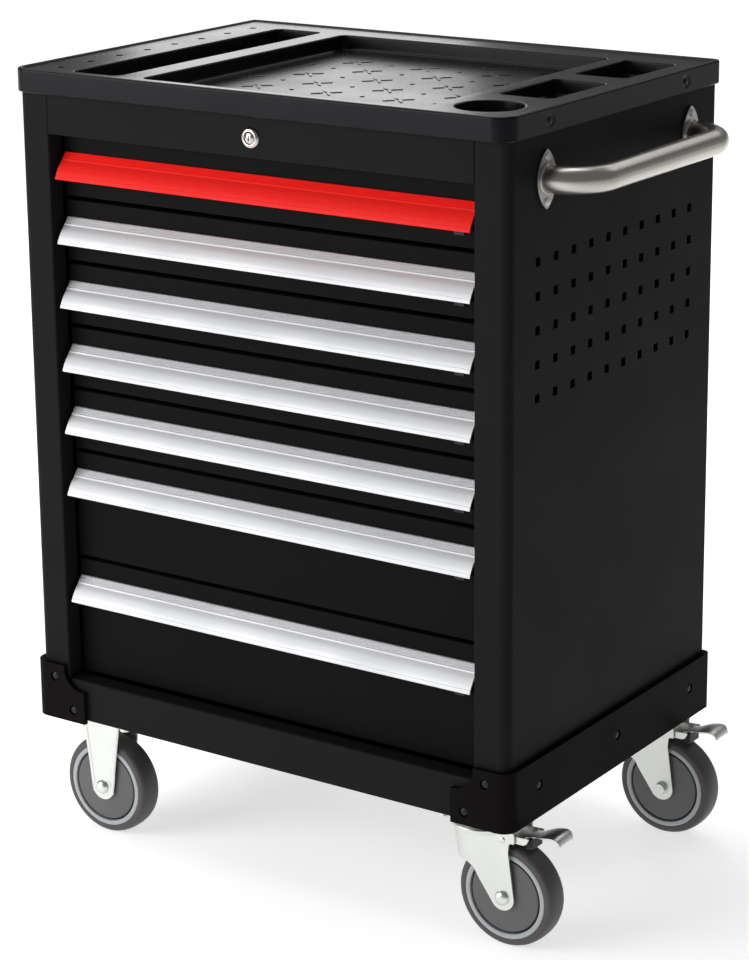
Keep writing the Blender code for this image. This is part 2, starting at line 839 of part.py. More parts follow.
def axle_hole(x, y):
    """A cutter through both legs."""
    reach = LEG_INNER + 2 * LEG_WALL
    return rod("Y", AXLE_RADIUS + GAP, y - reach, y + reach, (x, WHEEL_RADIUS), 16)


def swivel_caster(word, y):
    """Top plate with its bearing cup and kingpin, fork, wheel, axle and brake pedal."""
    x = SWIVEL_X
    cup_profile = [
        (0.0, PLATE_TOP - 0.001),
        (0.0290, PLATE_TOP - 0.001),
        (0.0290, 0.1480),
        (0.0250, 0.1444),
        (0.0060, 0.1444),
        (0.0060, 0.1335),
        (0.0095, 0.1335),
        (0.0095, 0.1303),
        (0.0, 0.1303),
    ]
    top = union(caster_plate(x, y), turned(cup_profile, 24, "Z", (x, y, 0)))
    finished(top, f"{word}_swivel_plate", ZINC, (x, y, PLATE_TOP))
    fork = swivel_fork(x, y)
    finished(fork, f"{word}_fork", ZINC, (x, y, 0))
    caster_wheel(f"{word}_wheel", x + TRAIL, y)
    caster_axle(f"{word}_axle", x + TRAIL, y)
    brake_pedal(word, y)


def fork_plan(x, y, reach, front, half_width):
    """Plan of the fork: open at the front, with a half ellipse behind the swivel axis."""
    bend = [(x + reach * c, y + half_width * s) for c, s in arc((0, 0), 1, 90, 270, 10)]
    return [(x + front, y + half_width), *bend, (x + front, y - half_width)]


def fork_shell(x, y):
    """The fork's sheet: two flat legs, and a web behind the wheel that tapers downwards."""
    shape = bmesh.new()
    rows = []
    for z, reach in ((0.0440, 0.0230), (CROWN_TOP, 0.0395)):
        plan = fork_plan(x, y, reach, 0.056, LEG_INNER + LEG_WALL)
        rows.append([shape.verts.new((*point, z)) for point in plan])
    for i in range(len(rows[0]) - 1):
        shape.faces.new((rows[0][i], rows[0][i + 1], rows[1][i + 1], rows[1][i]))
    sheet = from_bmesh(shape)
    thicken(sheet, LEG_WALL)
    return sheet


def swivel_fork(x, y):
    side_outline = [
        (x - 0.0500, 0.0970),
        (x - 0.0200, 0.0965),
        (x, 0.0907),
        (x + 0.0077, 0.0784),
        *arc((x + TRAIL, WHEEL_RADIUS), 0.0155, 209, 355, 8),
        (x + 0.0460, 0.1180),
        (x + 0.0475, 0.1270),
        (x + 0.0520, 0.1307),
        (x + 0.0520, CROWN_TOP + 0.01),
        (x - 0.0500, CROWN_TOP + 0.01),
    ]
    fork = fork_shell(x, y)
    combine(fork, plate(side_outline, "Y", y - 0.03, y + 0.03), "INTERSECT")
    cut(fork, axle_hole(x + TRAIL, y))
    plan = fork_plan(x, y, 0.0372, 0.0300, LEG_INNER + LEG_WALL / 2)
    crown = plate(plan, "Z", CROWN_BOTTOM, CROWN_TOP - 0.0004)
    disc_profile = [
        (0.0066, CROWN_TOP + 0.0006),
        (0.0345, CROWN_TOP + 0.0006),
        (0.0365, CROWN_TOP - 0.0008),
        (0.0365, CROWN_BOTTOM - 0.0006),
        (0.0066, CROWN_BOTTOM - 0.0006),
    ]
    disc = turned(disc_profile, 24, "Z", (x, y, 0), closed=True)
    cut(crown, rod("Z", 0.0080, 0.13, 0.15, (x, y), 16))
    return union(fork, crown, disc)


def brake_pedal(word, y):
    """A lever that turns on a pin between the legs, with a shoe over the wheel."""
    pivot_x, pivot_z = SWIVEL_X + PEDAL_PIVOT[0], PEDAL_PIVOT[1]
    half_width = LEG_INNER - 0.0012
    lever_outline = [
        *arc((pivot_x, pivot_z), 0.0042, 150, 270, 4),
        (pivot_x + 0.0180, pivot_z - 0.0042),
        (pivot_x + 0.0190, pivot_z - 0.0095),
        (pivot_x + 0.0260, pivot_z - 0.0095),
        (pivot_x + 0.0290, pivot_z + 0.0030),
        (pivot_x + 0.0520, pivot_z + 0.0110),
        (pivot_x + 0.0590, pivot_z + 0.0090),
        (pivot_x + 0.0620, pivot_z + 0.0020),
        (pivot_x + 0.0650, pivot_z + 0.0025),
        (pivot_x + 0.0620, pivot_z + 0.0115),
        (pivot_x + 0.0540, pivot_z + 0.0148),
        (pivot_x + 0.0200, pivot_z + 0.0060),
    ]
    lever = plate(lever_outline, "Y", y - half_width, y + half_width)
    finished(lever, f"{word}_brake_pedal", ZINC, (pivot_x, y, pivot_z))


def fixed_caster(word, y):
    """A one-piece bracket, wheel and axle."""
    x = FIXED_X
    leg_outline = [
        (x - 0.0290, PLATE_TOP - 0.001),
        (x - 0.0190, 0.0860),
        *arc((x, WHEEL_RADIUS), 0.0170, 190, 350, 8),
        (x + 0.0190, 0.0860),
        (x + 0.0290, PLATE_TOP - 0.001),
    ]
    bracket = union(caster_plate(x, y), *legs(leg_outline, y))
    cut(bracket, axle_hole(x, y))
    finished(bracket, f"{word}_bracket", ZINC, (x, y, PLATE_TOP))
    caster_wheel(f"{word}_wheel", x, y)
    caster_axle(f"{word}_axle", x, y)


def main():
    side_panels()
    inner_panels()
    front_rails()
    worktop_tray()
    bumpers()
    push_handle()
    for side, word in ((-1, "left"), (1, "right")):
        slide_rack(side, word)
    for number in range(1, len(MODULES) + 1):
        drawer_box(number)
        drawer_pull(number)
        middle_members(number)
    lock()
    lock_bar()
    for word, y in (("front", FRONT_CASTER_Y), ("rear", REAR_CASTER_Y)):
        swivel_caster(f"{word}_right", y)
        fixed_caster(f"{word}_left", y)


main()
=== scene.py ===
"""The looks of the rolling tool chest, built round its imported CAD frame."""

import math

import bmesh
import bpy
from mathutils import Matrix, Vector


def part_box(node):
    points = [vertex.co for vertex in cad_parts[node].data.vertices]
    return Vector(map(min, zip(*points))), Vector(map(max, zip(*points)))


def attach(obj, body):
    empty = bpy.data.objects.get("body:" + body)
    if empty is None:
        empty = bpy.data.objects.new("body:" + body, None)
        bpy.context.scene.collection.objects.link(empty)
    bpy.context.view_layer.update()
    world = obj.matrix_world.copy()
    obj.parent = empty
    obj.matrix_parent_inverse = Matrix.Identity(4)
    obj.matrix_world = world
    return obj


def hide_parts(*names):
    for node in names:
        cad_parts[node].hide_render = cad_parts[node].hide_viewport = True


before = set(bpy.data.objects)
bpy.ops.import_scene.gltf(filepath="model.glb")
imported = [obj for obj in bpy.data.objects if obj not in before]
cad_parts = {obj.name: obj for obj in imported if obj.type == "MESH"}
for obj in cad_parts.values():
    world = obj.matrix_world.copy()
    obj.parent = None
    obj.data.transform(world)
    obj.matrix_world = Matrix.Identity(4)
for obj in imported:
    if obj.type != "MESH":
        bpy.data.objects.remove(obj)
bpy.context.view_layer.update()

# Cabinet, measured on the frame. Shapes are drawn from the cabinet's middle, as in the CAD.
PANEL_LOW, PANEL_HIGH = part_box("left_side_panel")[0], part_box("right_side_panel")[1]
MIDDLE_X = (PANEL_LOW.x + PANEL_HIGH.x) / 2
HALF_WIDTH = (PANEL_HIGH.x - PANEL_LOW.x) / 2
HALF_DEPTH = PANEL_HIGH.y
BODY_BOTTOM, BODY_TOP = PANEL_LOW.z, PANEL_HIGH.z
SHEET = 0.0012
GAP = 0.0003
POST_WIDTH = 0.044
POST_HEM = 0.010
OPENING_HALF = HALF_WIDTH - POST_WIDTH
OPENING_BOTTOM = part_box("kick_rail")[1].z
OPENING_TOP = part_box("lock_rail")[0].z
FRONT_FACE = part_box("drawer_1_box")[0].y
DRAWERS = range(1, 8)


# ---------------------------------------------------------------- shapes


def new_object(mesh):
    made = bpy.data.objects.new("piece", mesh)
    bpy.context.scene.collection.objects.link(made)
    return made


def open_mesh(shape):
    """An object with the shape's faces as they are. It uses the shape up."""
    mesh = bpy.data.meshes.new("piece")
    shape.to_mesh(mesh)
    shape.free()
    return new_object(mesh)


def from_bmesh(shape):
    """An object with the closed shape's faces turned outwards. It uses the shape up."""
    bmesh.ops.recalc_face_normals(shape, faces=shape.faces)
    return open_mesh(shape)


def bake(obj):
    """Applies the object's modifiers."""
    graph = bpy.context.evaluated_depsgraph_get()
    mesh = bpy.data.meshes.new_from_object(obj.evaluated_get(graph))
    obj.modifiers.clear()
    obj.data = mesh
    return obj


def combine(target, tool, operation):
    modifier = target.modifiers.new("combine", "BOOLEAN")
    modifier.operation = operation
    modifier.solver = "EXACT"
    modifier.object = tool
    bake(target)
    bpy.data.objects.remove(tool, do_unlink=True)
    return target


def cut(target, tool):
    return combine(target, tool, "DIFFERENCE")


def together(*objects):
    """One object that holds all of the meshes side by side."""
    shape = bmesh.new()
    for obj in objects:
        shape.from_mesh(obj.data)
        bpy.data.objects.remove(obj, do_unlink=True)
    return open_mesh(shape)


def bevelled(obj, width, segments=2, angle=40):
    bevel = obj.modifiers.new("edges", "BEVEL")
    bevel.width = width
    bevel.segments = segments
    bevel.limit_method = "ANGLE"
    bevel.angle_limit = math.radians(angle)
    return bake(obj)


def thickened(obj, thickness):
    solidify = obj.modifiers.new("thickness", "SOLIDIFY")
    solidify.thickness = thickness
    solidify.offset = -1
    solidify.use_even_offset = True
    return bake(obj)


# Each turns a shape drawn in X and Y, and raised in Z, so that it is raised along the axis named
TURN = {
    "X": Matrix(((0, 0, 1, 0), (1, 0, 0, 0), (0, 1, 0, 0), (0, 0, 0, 1))),
    "Y": Matrix(((1, 0, 0, 0), (0, 0, -1, 0), (0, 1, 0, 0), (0, 0, 0, 1))),
    "Z": Matrix.Identity(4),
}


def placed(axis, across, along):
    """The point with two coordinates across an axis and one along it."""
    first, second = across
    return {
        "X": Vector((along, first, second)),
        "Y": Vector((first, along, second)),
        "Z": Vector((first, second, along)),
    }[axis]


def arc(centre, radius, start, end, steps):
    """Points along an arc, from start to end in degrees."""
    points = []
    for i in range(steps + 1):
        angle = math.radians(start + (end - start) * i / steps)
        points.append((centre[0] + radius * math.cos(angle), centre[1] + radius * math.sin(angle)))
    return points


def mirrored(half):
    """A section made of its upper half and the same half upside down."""
    return half + [(out, -up) for out, up in reversed(half)]


def rounded_rectangle(low_x, high_x, low_y, high_y, radius, steps=6, rear_radius=None):
    """An outline whose two rear corners may have their own radius."""
    rear = rear_radius or radius
    corners = [
        (high_x - radius, low_y + radius, radius),
        (high_x - rear, high_y - rear, rear),
        (low_x + rear, high_y - rear, rear),
        (low_x + radius, low_y + radius, radius),
    ]
    outline = []
    for quarter, (x, y, size) in enumerate(corners):
        outline += arc((x, y), size, 90 * quarter - 90, 90 * quarter, steps)
    return outline


SMALLEST_TURN = math.radians(12)


def filleted(path, radius, steps=4, closed=False):
    """The path with its corners rounded to the radius."""
    count = len(path)
    points = []
    for i, here in enumerate(path):
        if not closed and i in (0, count - 1):
            points.append(here)
            continue
        p = Vector(here)
        back = Vector(path[i - 1]) - p
        ahead = Vector(path[(i + 1) % count]) - p
        turn = math.pi - back.angle(ahead)
        if turn < SMALLEST_TURN:
            points.append(here)
            continue
        longest = 0.48 * min(back.length, ahead.length)
        reach = min(radius * math.tan(turn / 2), longest)
        size = reach / math.tan(turn / 2)
        start = p + back.normalized() * reach
        centre = p + (back.normalized() + ahead.normalized()).normalized() * size / math.cos(turn / 2)
        spoke = start - centre
        sign = 1 if back.cross(ahead) < 0 else -1
        for k in range(steps + 1):
            angle = sign * turn * k / steps
            c, s = math.cos(angle), math.sin(angle)
            points.append((centre.x + spoke.x * c - spoke.y * s, centre.y + spoke.x * s + spoke.y * c))
    return points


def ring(shape, points, z):
    """New corners at the points, at one height."""
    return [shape.verts.new((x, y, z)) for x, y in points]


def bridge(shape, low, high):
    """A wall of faces between two rings."""
    count = len(low)
    for i in range(count):
        j = (i + 1) % count
        shape.faces.new((low[i], low[j], high[j], high[i]))


def strip(shape, low, high):
    """A run of faces between two open rows of corners."""
    for i in range(len(low) - 1):
        shape.faces.new((low[i], low[i + 1], high[i + 1], high[i]))


def fill(shape, *rings):
    """A flat face with holes: the first ring is its outside."""
    edges = []
    for loop in rings:
        for i, vert in enumerate(loop):
            follower = loop[(i + 1) % len(loop)]
            edges.append(shape.edges.get((vert, follower)) or shape.edges.new((vert, follower)))
    bmesh.ops.triangle_fill(shape, edges=edges, use_beauty=True)


def plate(outline, axis, start, end, edge=0.0, segments=2):
    """A flat outline with a thickness, and its rims rounded by edge."""
    if axis == "Y":
        start, end = -end, -start
    shape = bmesh.new()
    low, high = ring(shape, outline, start), ring(shape, outline, end)
    bridge(shape, low, high)
    shape.faces.new(low)
    shape.faces.new(high)
    bmesh.ops.transform(shape, matrix=TURN[axis], verts=shape.verts)
    made = from_bmesh(shape)
    return bevelled(made, edge, segments, 50) if edge else made


def block(low, high, edge=0.0, segments=2):
    """A box between two corners, with its upright edges and rims rounded by edge."""
    outline = [(low[0], low[1]), (high[0], low[1]), (high[0], high[1]), (low[0], high[1])]
    return plate(outline, "Z", low[2], high[2], edge, segments)


def folded_sheet(path, axis, start, end, thickness=SHEET):
    """A sheet folded along a path and long from start to end. Its metal is left of the path."""
    if axis == "Y":
        start, end = end, start
    shape = bmesh.new()
    rows = [[shape.verts.new(placed(axis, p, along)) for p in path] for along in (start, end)]
    strip(shape, *rows)
    return thickened(open_mesh(shape), thickness)


def lathe(profile, steps, axis, centre, closed=False):
    """A profile of (radius, height) points turned about an axis."""
    shape = bmesh.new()
    rows = []
    for radius, height in profile:
        if radius < 1e-6:
            rows.append([shape.verts.new((0, 0, height))])
        else:
            rows.append(ring(shape, arc((0, 0), radius, 0, 360, steps)[:-1], height))
    pairs = list(zip(rows, rows[1:]))
    if closed:
        pairs.append((rows[-1], rows[0]))
    for a, b in pairs:
        for i in range(steps):
            j = (i + 1) % steps
            corners = [a[i % len(a)], a[j % len(a)], b[j % len(b)], b[i % len(b)]]
            shape.faces.new(list(dict.fromkeys(corners)))
    bmesh.ops.transform(shape, matrix=Matrix.Translation(centre) @ TURN[axis], verts=shape.verts)
    return from_bmesh(shape)


def rod(axis, radius, start, end, across, steps=32):
    """A cylinder along the axis, with across as its place."""
    centre = placed(axis, across, 0)
    sign = -1 if axis == "Y" else 1
    return lathe(
        [(0, sign * start), (radius, sign * start), (radius, sign * end), (0, sign * end)],
        steps, axis, centre,
    )


def sweep(points, radius, steps=32):
    """A round tube along points, with u round it and v along it in its UV map."""
    shape = bmesh.new()
    uv = shape.loops.layers.uv.new("along")
    rows, lengths, length = [], [], 0.0
    for i, p in enumerate(points):
        ahead = points[min(i + 1, len(points) - 1)]
        behind = points[max(i - 1, 0)]
        tangent = (ahead - behind).normalized()
        side = tangent.cross(Vector((0, 0, 1))).normalized()
        up = side.cross(tangent).normalized()
        length += (p - behind).length if i else 0
        lengths.append(length)
        rows.append([
            shape.verts.new(p + radius * (math.cos(a) * side + math.sin(a) * up))
            for a in (2 * math.pi * k / steps for k in range(steps))
        ])
    for i in range(len(rows) - 1):
        for k in range(steps):
            j = (k + 1) % steps
            face = shape.faces.new((rows[i][k], rows[i][j], rows[i + 1][j], rows[i + 1][k]))
            for loop, (u, v) in zip(face.loops, ((k, i), (k + 1, i), (k + 1, i + 1), (k, i + 1))):
                loop[uv].uv = (u / steps, lengths[v])
    shape.faces.new(rows[0])
    shape.faces.new(rows[-1])
    return from_bmesh(shape)


def dome(axis, sign, radius, height, across, along):
    """A low domed head that stands on a face, towards sign along the axis."""
    sunk = 0.0004
    turns = [math.radians(a) for a in range(0, 90, 15)]
    profile = [(0, -sunk), (radius, -sunk)]
    profile += [(radius * math.cos(a), height * math.sin(a)) for a in turns] + [(0, height)]
    flip = -sign if axis == "Y" else sign
    return lathe([(r, flip * h) for r, h in profile], 24, axis, placed(axis, across, along))


def hexagon(axis, sign, across_flats, height, across, along):
    """A hexagonal head with its corners turned off."""
    corner = across_flats / math.sqrt(3)
    low, high = sorted((along - sign * 0.0002, along + sign * height))
    outline = [(across[0] + x, across[1] + y) for x, y in arc((0, 0), corner, 0, 360, 6)[:-1]]
    head = plate(outline, axis, low, high)
    flip = -1 if axis == "Y" else 1
    tip = flip * (along + sign * height)
    step = flip * sign
    cone = lathe(
        [(0, tip + step * 0.001), (corner * 0.86, tip + step * 0.0001), (corner * 1.3, tip - step * 0.003),
         (corner * 1.3, tip - step * 0.03), (0, tip - step * 0.03)],
        24, axis, placed(axis, across, 0),
    )
    return combine(head, cone, "INTERSECT")


def piece(obj, name, finish, body, replaces=(), smooth=40):
    """Names the piece, moves it to its place in the frame and makes it ride on its body."""
    obj.name = name
    obj.data.name = name
    obj.data.materials.clear()
    obj.data.materials.append(finish)
    obj.data.transform(Matrix.Translation((MIDDLE_X, 0, 0)))
    obj.data.shade_smooth()
    obj.data.set_sharp_from_angle(angle=math.radians(smooth))
    weighted = obj.modifiers.new("normals", "WEIGHTED_NORMAL")
    weighted.keep_sharp = True
    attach(obj, body)
    if replaces:
        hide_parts(*replaces)
    return obj


# ------------------------------------------------------------- materials


MOTTLE_LOW, MOTTLE_HIGH = 0.3, 0.7
TINT_SHARE = 0.88
GRAIN_GLOSS = 1.5
GRAIN_DEPTH = 0.0003


def add_node(tree, kind, **levels):
    """A new shader node with its inputs set. An underscore in a name stands for a space."""
    made = tree.nodes.new("ShaderNode" + kind)
    for name, level in levels.items():
        made.inputs[name.replace("_", " ")].default_value = level
    return made


def surface(
    name, colour, roughness, metallic=0.0, specular=0.5, spread=0.04, tint=None, mottle=9.0,
    grain=1400.0, bump=0.1, stretch=(1, 1, 1), cells=False, coordinates="Object", anisotropic=0.0,
):
    """A finish with a broad mottle in colour and gloss and a fine grain in its gloss and relief."""
    made = bpy.data.materials.new(name)
    made.use_nodes = True
    tree = made.node_tree
    link = tree.links.new
    shader = tree.nodes["Principled BSDF"]
    shader.inputs["Metallic"].default_value = metallic
    shader.inputs["Specular IOR Level"].default_value = specular
    shader.inputs["Anisotropic"].default_value = anisotropic
    place = add_node(tree, "TexCoord")
    broad = add_node(tree, "TexNoise", Scale=mottle, Detail=4)
    link(place.outputs["Object"], broad.inputs["Vector"])
    gloss = add_node(
        tree, "MapRange", From_Min=MOTTLE_LOW, From_Max=MOTTLE_HIGH,
        To_Min=roughness - spread, To_Max=roughness + spread,
    )
    link(broad.outputs["Fac"], gloss.inputs["Value"])
    mix = add_node(tree, "Mix")
    mix.data_type = "RGBA"
    mix.inputs["A"].default_value = (*colour, 1)
    mix.inputs["B"].default_value = (*(tint or tuple(TINT_SHARE * c for c in colour)), 1)
    link(broad.outputs["Fac"], mix.inputs["Factor"])
    link(mix.outputs["Result"], shader.inputs["Base Color"])
    mapping = add_node(tree, "Mapping", Scale=stretch)
    link(place.outputs[coordinates], mapping.inputs["Vector"])
    fine = add_node(tree, "TexVoronoi" if cells else "TexNoise", Scale=grain)
    link(mapping.outputs["Vector"], fine.inputs["Vector"])
    height = fine.outputs["Distance" if cells else "Fac"]
    blur = add_node(tree, "Math")
    blur.operation = "MULTIPLY_ADD"
    blur.inputs[1].default_value = spread * GRAIN_GLOSS
    link(height, blur.inputs[0])
    link(gloss.outputs["Result"], blur.inputs[2])
    link(blur.outputs["Value"], shader.inputs["Roughness"])
    relief = add_node(tree, "Bump", Strength=bump, Distance=GRAIN_DEPTH)
    link(height, relief.inputs["Height"])
    link(relief.outputs["Normal"], shader.inputs["Normal"])
    return made


POWDER_COAT = surface(
    "powder_coat", (0.0140, 0.0141, 0.0143), 0.42, specular=0.025, grain=700, bump=0.14,
)
# The drawer fronts' coat is about half as bright as the cabinet's. This is partly a darker finish and partly
# painted shade from the pulls above and the fronts' recess.
DRAWER_COAT_AND_SHADE = surface(
    "powder_coat_drawers_and_painted_shade", (0.0068, 0.0066, 0.0063), 0.40, specular=0.03, grain=700, bump=0.14,
)
TRAY_PLASTIC = surface(
    "tray_plastic", (0.0068, 0.0071, 0.0092), 0.20, specular=0.12, spread=0.03, grain=1600,
    bump=0.05, cells=True,
)
BUMPER = surface(
    "bumper_plastic_grain", (0.0070, 0.0058, 0.0056), 0.46, specular=0.02, grain=1500, bump=0.2,
    cells=True,
)
BLACK_MOULDED = surface("black_moulded", (0.008, 0.008, 0.008), 0.45, specular=0.3, grain=1200, bump=0.1)
ALUMINIUM = surface(
    "brushed_aluminium", (0.70, 0.705, 0.72), 0.60, metallic=1.0, grain=900, bump=0.05,
    stretch=(0.012, 1, 1), tint=(0.67, 0.675, 0.69),
)
RED = surface(
    "red_coated_aluminium", (1.0, 0.020, 0.014), 0.42, specular=0.12, grain=900,
    bump=0.04, stretch=(0.012, 1, 1), tint=(0.96, 0.018, 0.013),
)
STAINLESS = surface(
    "brushed_stainless", (0.56, 0.54, 0.50), 0.24, metallic=1.0, grain=60, bump=0.06,
    stretch=(14, 1.2, 1), coordinates="UV", anisotropic=0.4, tint=(0.52, 0.49, 0.46),
)
STEEL = surface("dull_steel", (0.44, 0.42, 0.40), 0.28, metallic=1.0, grain=600, bump=0.06)
ZINC = surface(
    "zinc_plating", (0.76, 0.775, 0.75), 0.30, metallic=1.0, spread=0.06, grain=260, bump=0.03, cells=True,
    tint=(0.66, 0.68, 0.645), mottle=22,
)
CHROME = surface("chrome_plating", (0.56, 0.53, 0.50), 0.13, metallic=1.0, spread=0.02, grain=500, bump=0.02)
TREAD = surface("grey_tread_rubber", (0.078, 0.071, 0.075), 0.46, specular=0.35, grain=900, bump=0.12)
RIM = surface("light_grey_nylon", (0.42, 0.44, 0.46), 0.36, specular=0.5, grain=900, bump=0.06)
DISC = surface("dark_grey_nylon", (0.112, 0.112, 0.115), 0.36, specular=0.4, grain=1100, bump=0.08)
DARK_SCREW = surface("black_screw", (0.007, 0.007, 0.0075), 0.36, specular=0.25, grain=900, bump=0.05)


def repaint(node, finish):
    """Gives a CAD node that stays in view a finish."""
    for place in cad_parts[node].material_slots:
        place.material = finish


# --------------------------------------------------------------- cabinet

CORNER_RADIUS = 0.012
REAR_FLANGE = 0.020
HOLE_SIDE, HOLE_PITCH, HOLE_COLUMNS, HOLE_ROWS, HOLE_TOP_ROW = 0.010, 0.038, 10, 5, 0.791
LOCK_HOLE_RADIUS = 0.0099


def side_panel_path():
    """The right panel's section from its rear flange to the hem of its front post."""
    corner = arc((HALF_WIDTH - CORNER_RADIUS, -HALF_DEPTH + CORNER_RADIUS), CORNER_RADIUS, 0, -90, 12)
    rear = filleted([
        (HALF_WIDTH - REAR_FLANGE, HALF_DEPTH), (HALF_WIDTH, HALF_DEPTH), (HALF_WIDTH, 0)
    ], 0.0026)
    front = filleted([
        (HALF_WIDTH - 0.02, -HALF_DEPTH), (OPENING_HALF, -HALF_DEPTH), (OPENING_HALF, FRONT_FACE),
        (OPENING_HALF + POST_HEM, FRONT_FACE),
    ], 0.0022)
    return rear + corner + front


def side_panels():
    path = side_panel_path()
    for side, word in ((-1, "left"), (1, "right")):
        outline = path[::-1] if side > 0 else [(-x, y) for x, y in path]
        panel = folded_sheet(outline, "Z", BODY_BOTTOM, BODY_TOP)
        if side > 0:
            holes = bmesh.new()
            for column in range(HOLE_COLUMNS):
                for row in range(HOLE_ROWS):
                    y = HOLE_PITCH * (column - (HOLE_COLUMNS - 1) / 2)
                    centre = Matrix.Translation((HALF_WIDTH, y, HOLE_TOP_ROW - HOLE_PITCH * row))
                    size = Matrix.Diagonal((5 * HOLE_SIDE, HOLE_SIDE, HOLE_SIDE, 1))
                    bmesh.ops.create_cube(holes, size=1, matrix=centre @ size)
            cut(panel, from_bmesh(holes))
        name = f"{word}_side_panel"
        piece(panel, f"{word}_side_skin", POWDER_COAT, "cabinet", [name], 50)


def front_rails():
    half = OPENING_HALF - GAP
    sill = FRONT_FACE - GAP
    kick_path = [(sill, OPENING_BOTTOM), (-HALF_DEPTH, OPENING_BOTTOM), (-HALF_DEPTH, BODY_BOTTOM)]
    kick = folded_sheet(filleted(kick_path, 0.0028), "X", -half, half)
    piece(kick, "kick_rail_skin", POWDER_COAT, "cabinet", ["kick_rail"])
    lock_path = [(-HALF_DEPTH, BODY_TOP), (-HALF_DEPTH, OPENING_TOP), (sill, OPENING_TOP)]
    rail = folded_sheet(filleted(lock_path, 0.0024), "X", -half, half)
    through = (-HALF_DEPTH - 0.01, -HALF_DEPTH + 0.01)
    cut(rail, rod("Y", LOCK_HOLE_RADIUS, *through, (LOCK_X, LOCK_Z)))
    piece(rail, "lock_rail_skin", POWDER_COAT, "cabinet", ["lock_rail"])


# ------------------------------------------------------------------ tray

TRAY_LOW, TRAY_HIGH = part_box("worktop_tray")
TRAY_HALF_WIDTH = (TRAY_HIGH.x - TRAY_LOW.x) / 2
TRAY_HALF_DEPTH = TRAY_HIGH.y
TRAY_TOP = TRAY_HIGH.z
TRAY_WALL = 0.003
TRAY_FLOOR = TRAY_TOP - 0.0205
# A raised lip runs round the rim, above the deck
LIP_HEIGHT = 0.0020
TRAY_SCREW_Y, TRAY_SCREW_Z, TRAY_SCREW_SUNK = 0.152, 0.942, 0.0011
# Each recess: low and high X, low and high Y. The cup and the tool holes: X, Y and radius.
RECESSES = [
    (-0.165, 0.218, -0.215, 0.190),
    (-0.268, -0.200, -0.215, 0.194),
    (0.240, 0.309, -0.098, 0.026),
    (0.240, 0.309, 0.066, 0.188),
]
CUP = (0.276, -0.170, 0.0375)
TOOL_HOLES = [(-0.299, -0.197 + 0.054 * i, 0.0045) for i in range(8)]


def tray_outline(inset):
    return rounded_rectangle(
        -TRAY_HALF_WIDTH + inset, TRAY_HALF_WIDTH - inset, -TRAY_HALF_DEPTH + inset,
        TRAY_HALF_DEPTH - inset, 0.022 - inset, 8, 0.010 - inset,
    )


def recess_outline(recess, out):
    low_x, high_x, low_y, high_y = recess
    return rounded_rectangle(low_x - out, high_x + out, low_y - out, high_y + out, 0.010 + out, 8)


def round_outline(hole, out, steps):
    x, y, radius = hole
    return arc((x, y), radius + out, 0, 360, steps)[:-1]


def stacked(shape, outline, levels):
    """Rings of one outline at each (offset, z), joined from first to last. Returns both ends."""
    rings = [ring(shape, outline(out), z) for out, z in levels]
    for a, b in zip(rings, rings[1:]):
        bridge(shape, a, b)
    return rings[0], rings[-1]


def worktop_tray():
    shape = bmesh.new()
    edge = 0.0026
    turns = [math.radians(a) for a in (0, 22.5, 45, 67.5, 90)]
    deck = TRAY_TOP - LIP_HEIGHT
    outside = [(0, TRAY_LOW.z + 0.0008)]
    outside += [(edge * (1 - math.cos(a)), TRAY_TOP - edge * (1 - math.sin(a))) for a in turns]
    outside += [
        (0.0046, TRAY_TOP), (0.0053, TRAY_TOP - 0.0004), (0.0060, deck + 0.0004), (0.0068, deck),
    ]
    low, rim = stacked(shape, tray_outline, outside)
    under = TRAY_TOP - TRAY_WALL
    foot, ceiling = stacked(
        shape, tray_outline, [(0.0008, TRAY_LOW.z), (TRAY_WALL, TRAY_LOW.z), (TRAY_WALL, under)]
    )
    bridge(shape, low, foot)
    lip, root = 0.0022, 0.0036
    levels = [(lip * (1 - math.sin(a)), deck - lip * (1 - math.cos(a))) for a in turns]
    levels += [
        (-0.0012 - root * (1 - math.cos(a)), TRAY_FLOOR + root * (1 - math.sin(a))) for a in turns
    ]
    tops, bottoms = [rim], [ceiling]
    outlines = [lambda out, r=r: recess_outline(r, out) for r in RECESSES]
    outlines.append(lambda out: round_outline(CUP, out, 64))
    for outline in outlines:
        mouth, floor = stacked(shape, outline, levels)
        tops.append(mouth)
        shape.faces.new(floor)
        outer = [(TRAY_WALL, under), (0.001, TRAY_FLOOR - TRAY_WALL)]
        tub, base = stacked(shape, outline, outer)
        bottoms.append(tub)
        shape.faces.new(base)
    for hole in TOOL_HOLES:
        mouth, bottom = stacked(
            shape, lambda out, h=hole: round_outline(h, out, 24),
            [(0.0007, deck), (0.0002, deck - 0.0002), (0, deck - 0.0007), (0, under)],
        )
        tops.append(mouth)
        bottoms.append(bottom)
    fill(shape, *tops)
    fill(shape, *bottoms)
    tray = from_bmesh(shape)
    screws = []
    for side in (-1, 1):
        out, sunk = side * 0.004, -side * TRAY_SCREW_SUNK
        dish = [(0, out), (0.0115, out), (0.0100, 0), (0.0078, sunk), (0, sunk)]
        seat = side * (TRAY_HALF_WIDTH - TRAY_SCREW_SUNK)
        for y in (-TRAY_SCREW_Y, TRAY_SCREW_Y):
            cut(tray, lathe(dish, 40, "X", (side * TRAY_HALF_WIDTH, y, TRAY_SCREW_Z)))
            screws.append(dome("X", side, 0.0042, 0.0014, (y, TRAY_SCREW_Z), seat))
    piece(tray, "worktop_tray_moulding", TRAY_PLASTIC, "cabinet", ["worktop_tray"], 35)
    piece(together(*screws), "tray_side_screws", DARK_SCREW, "cabinet")


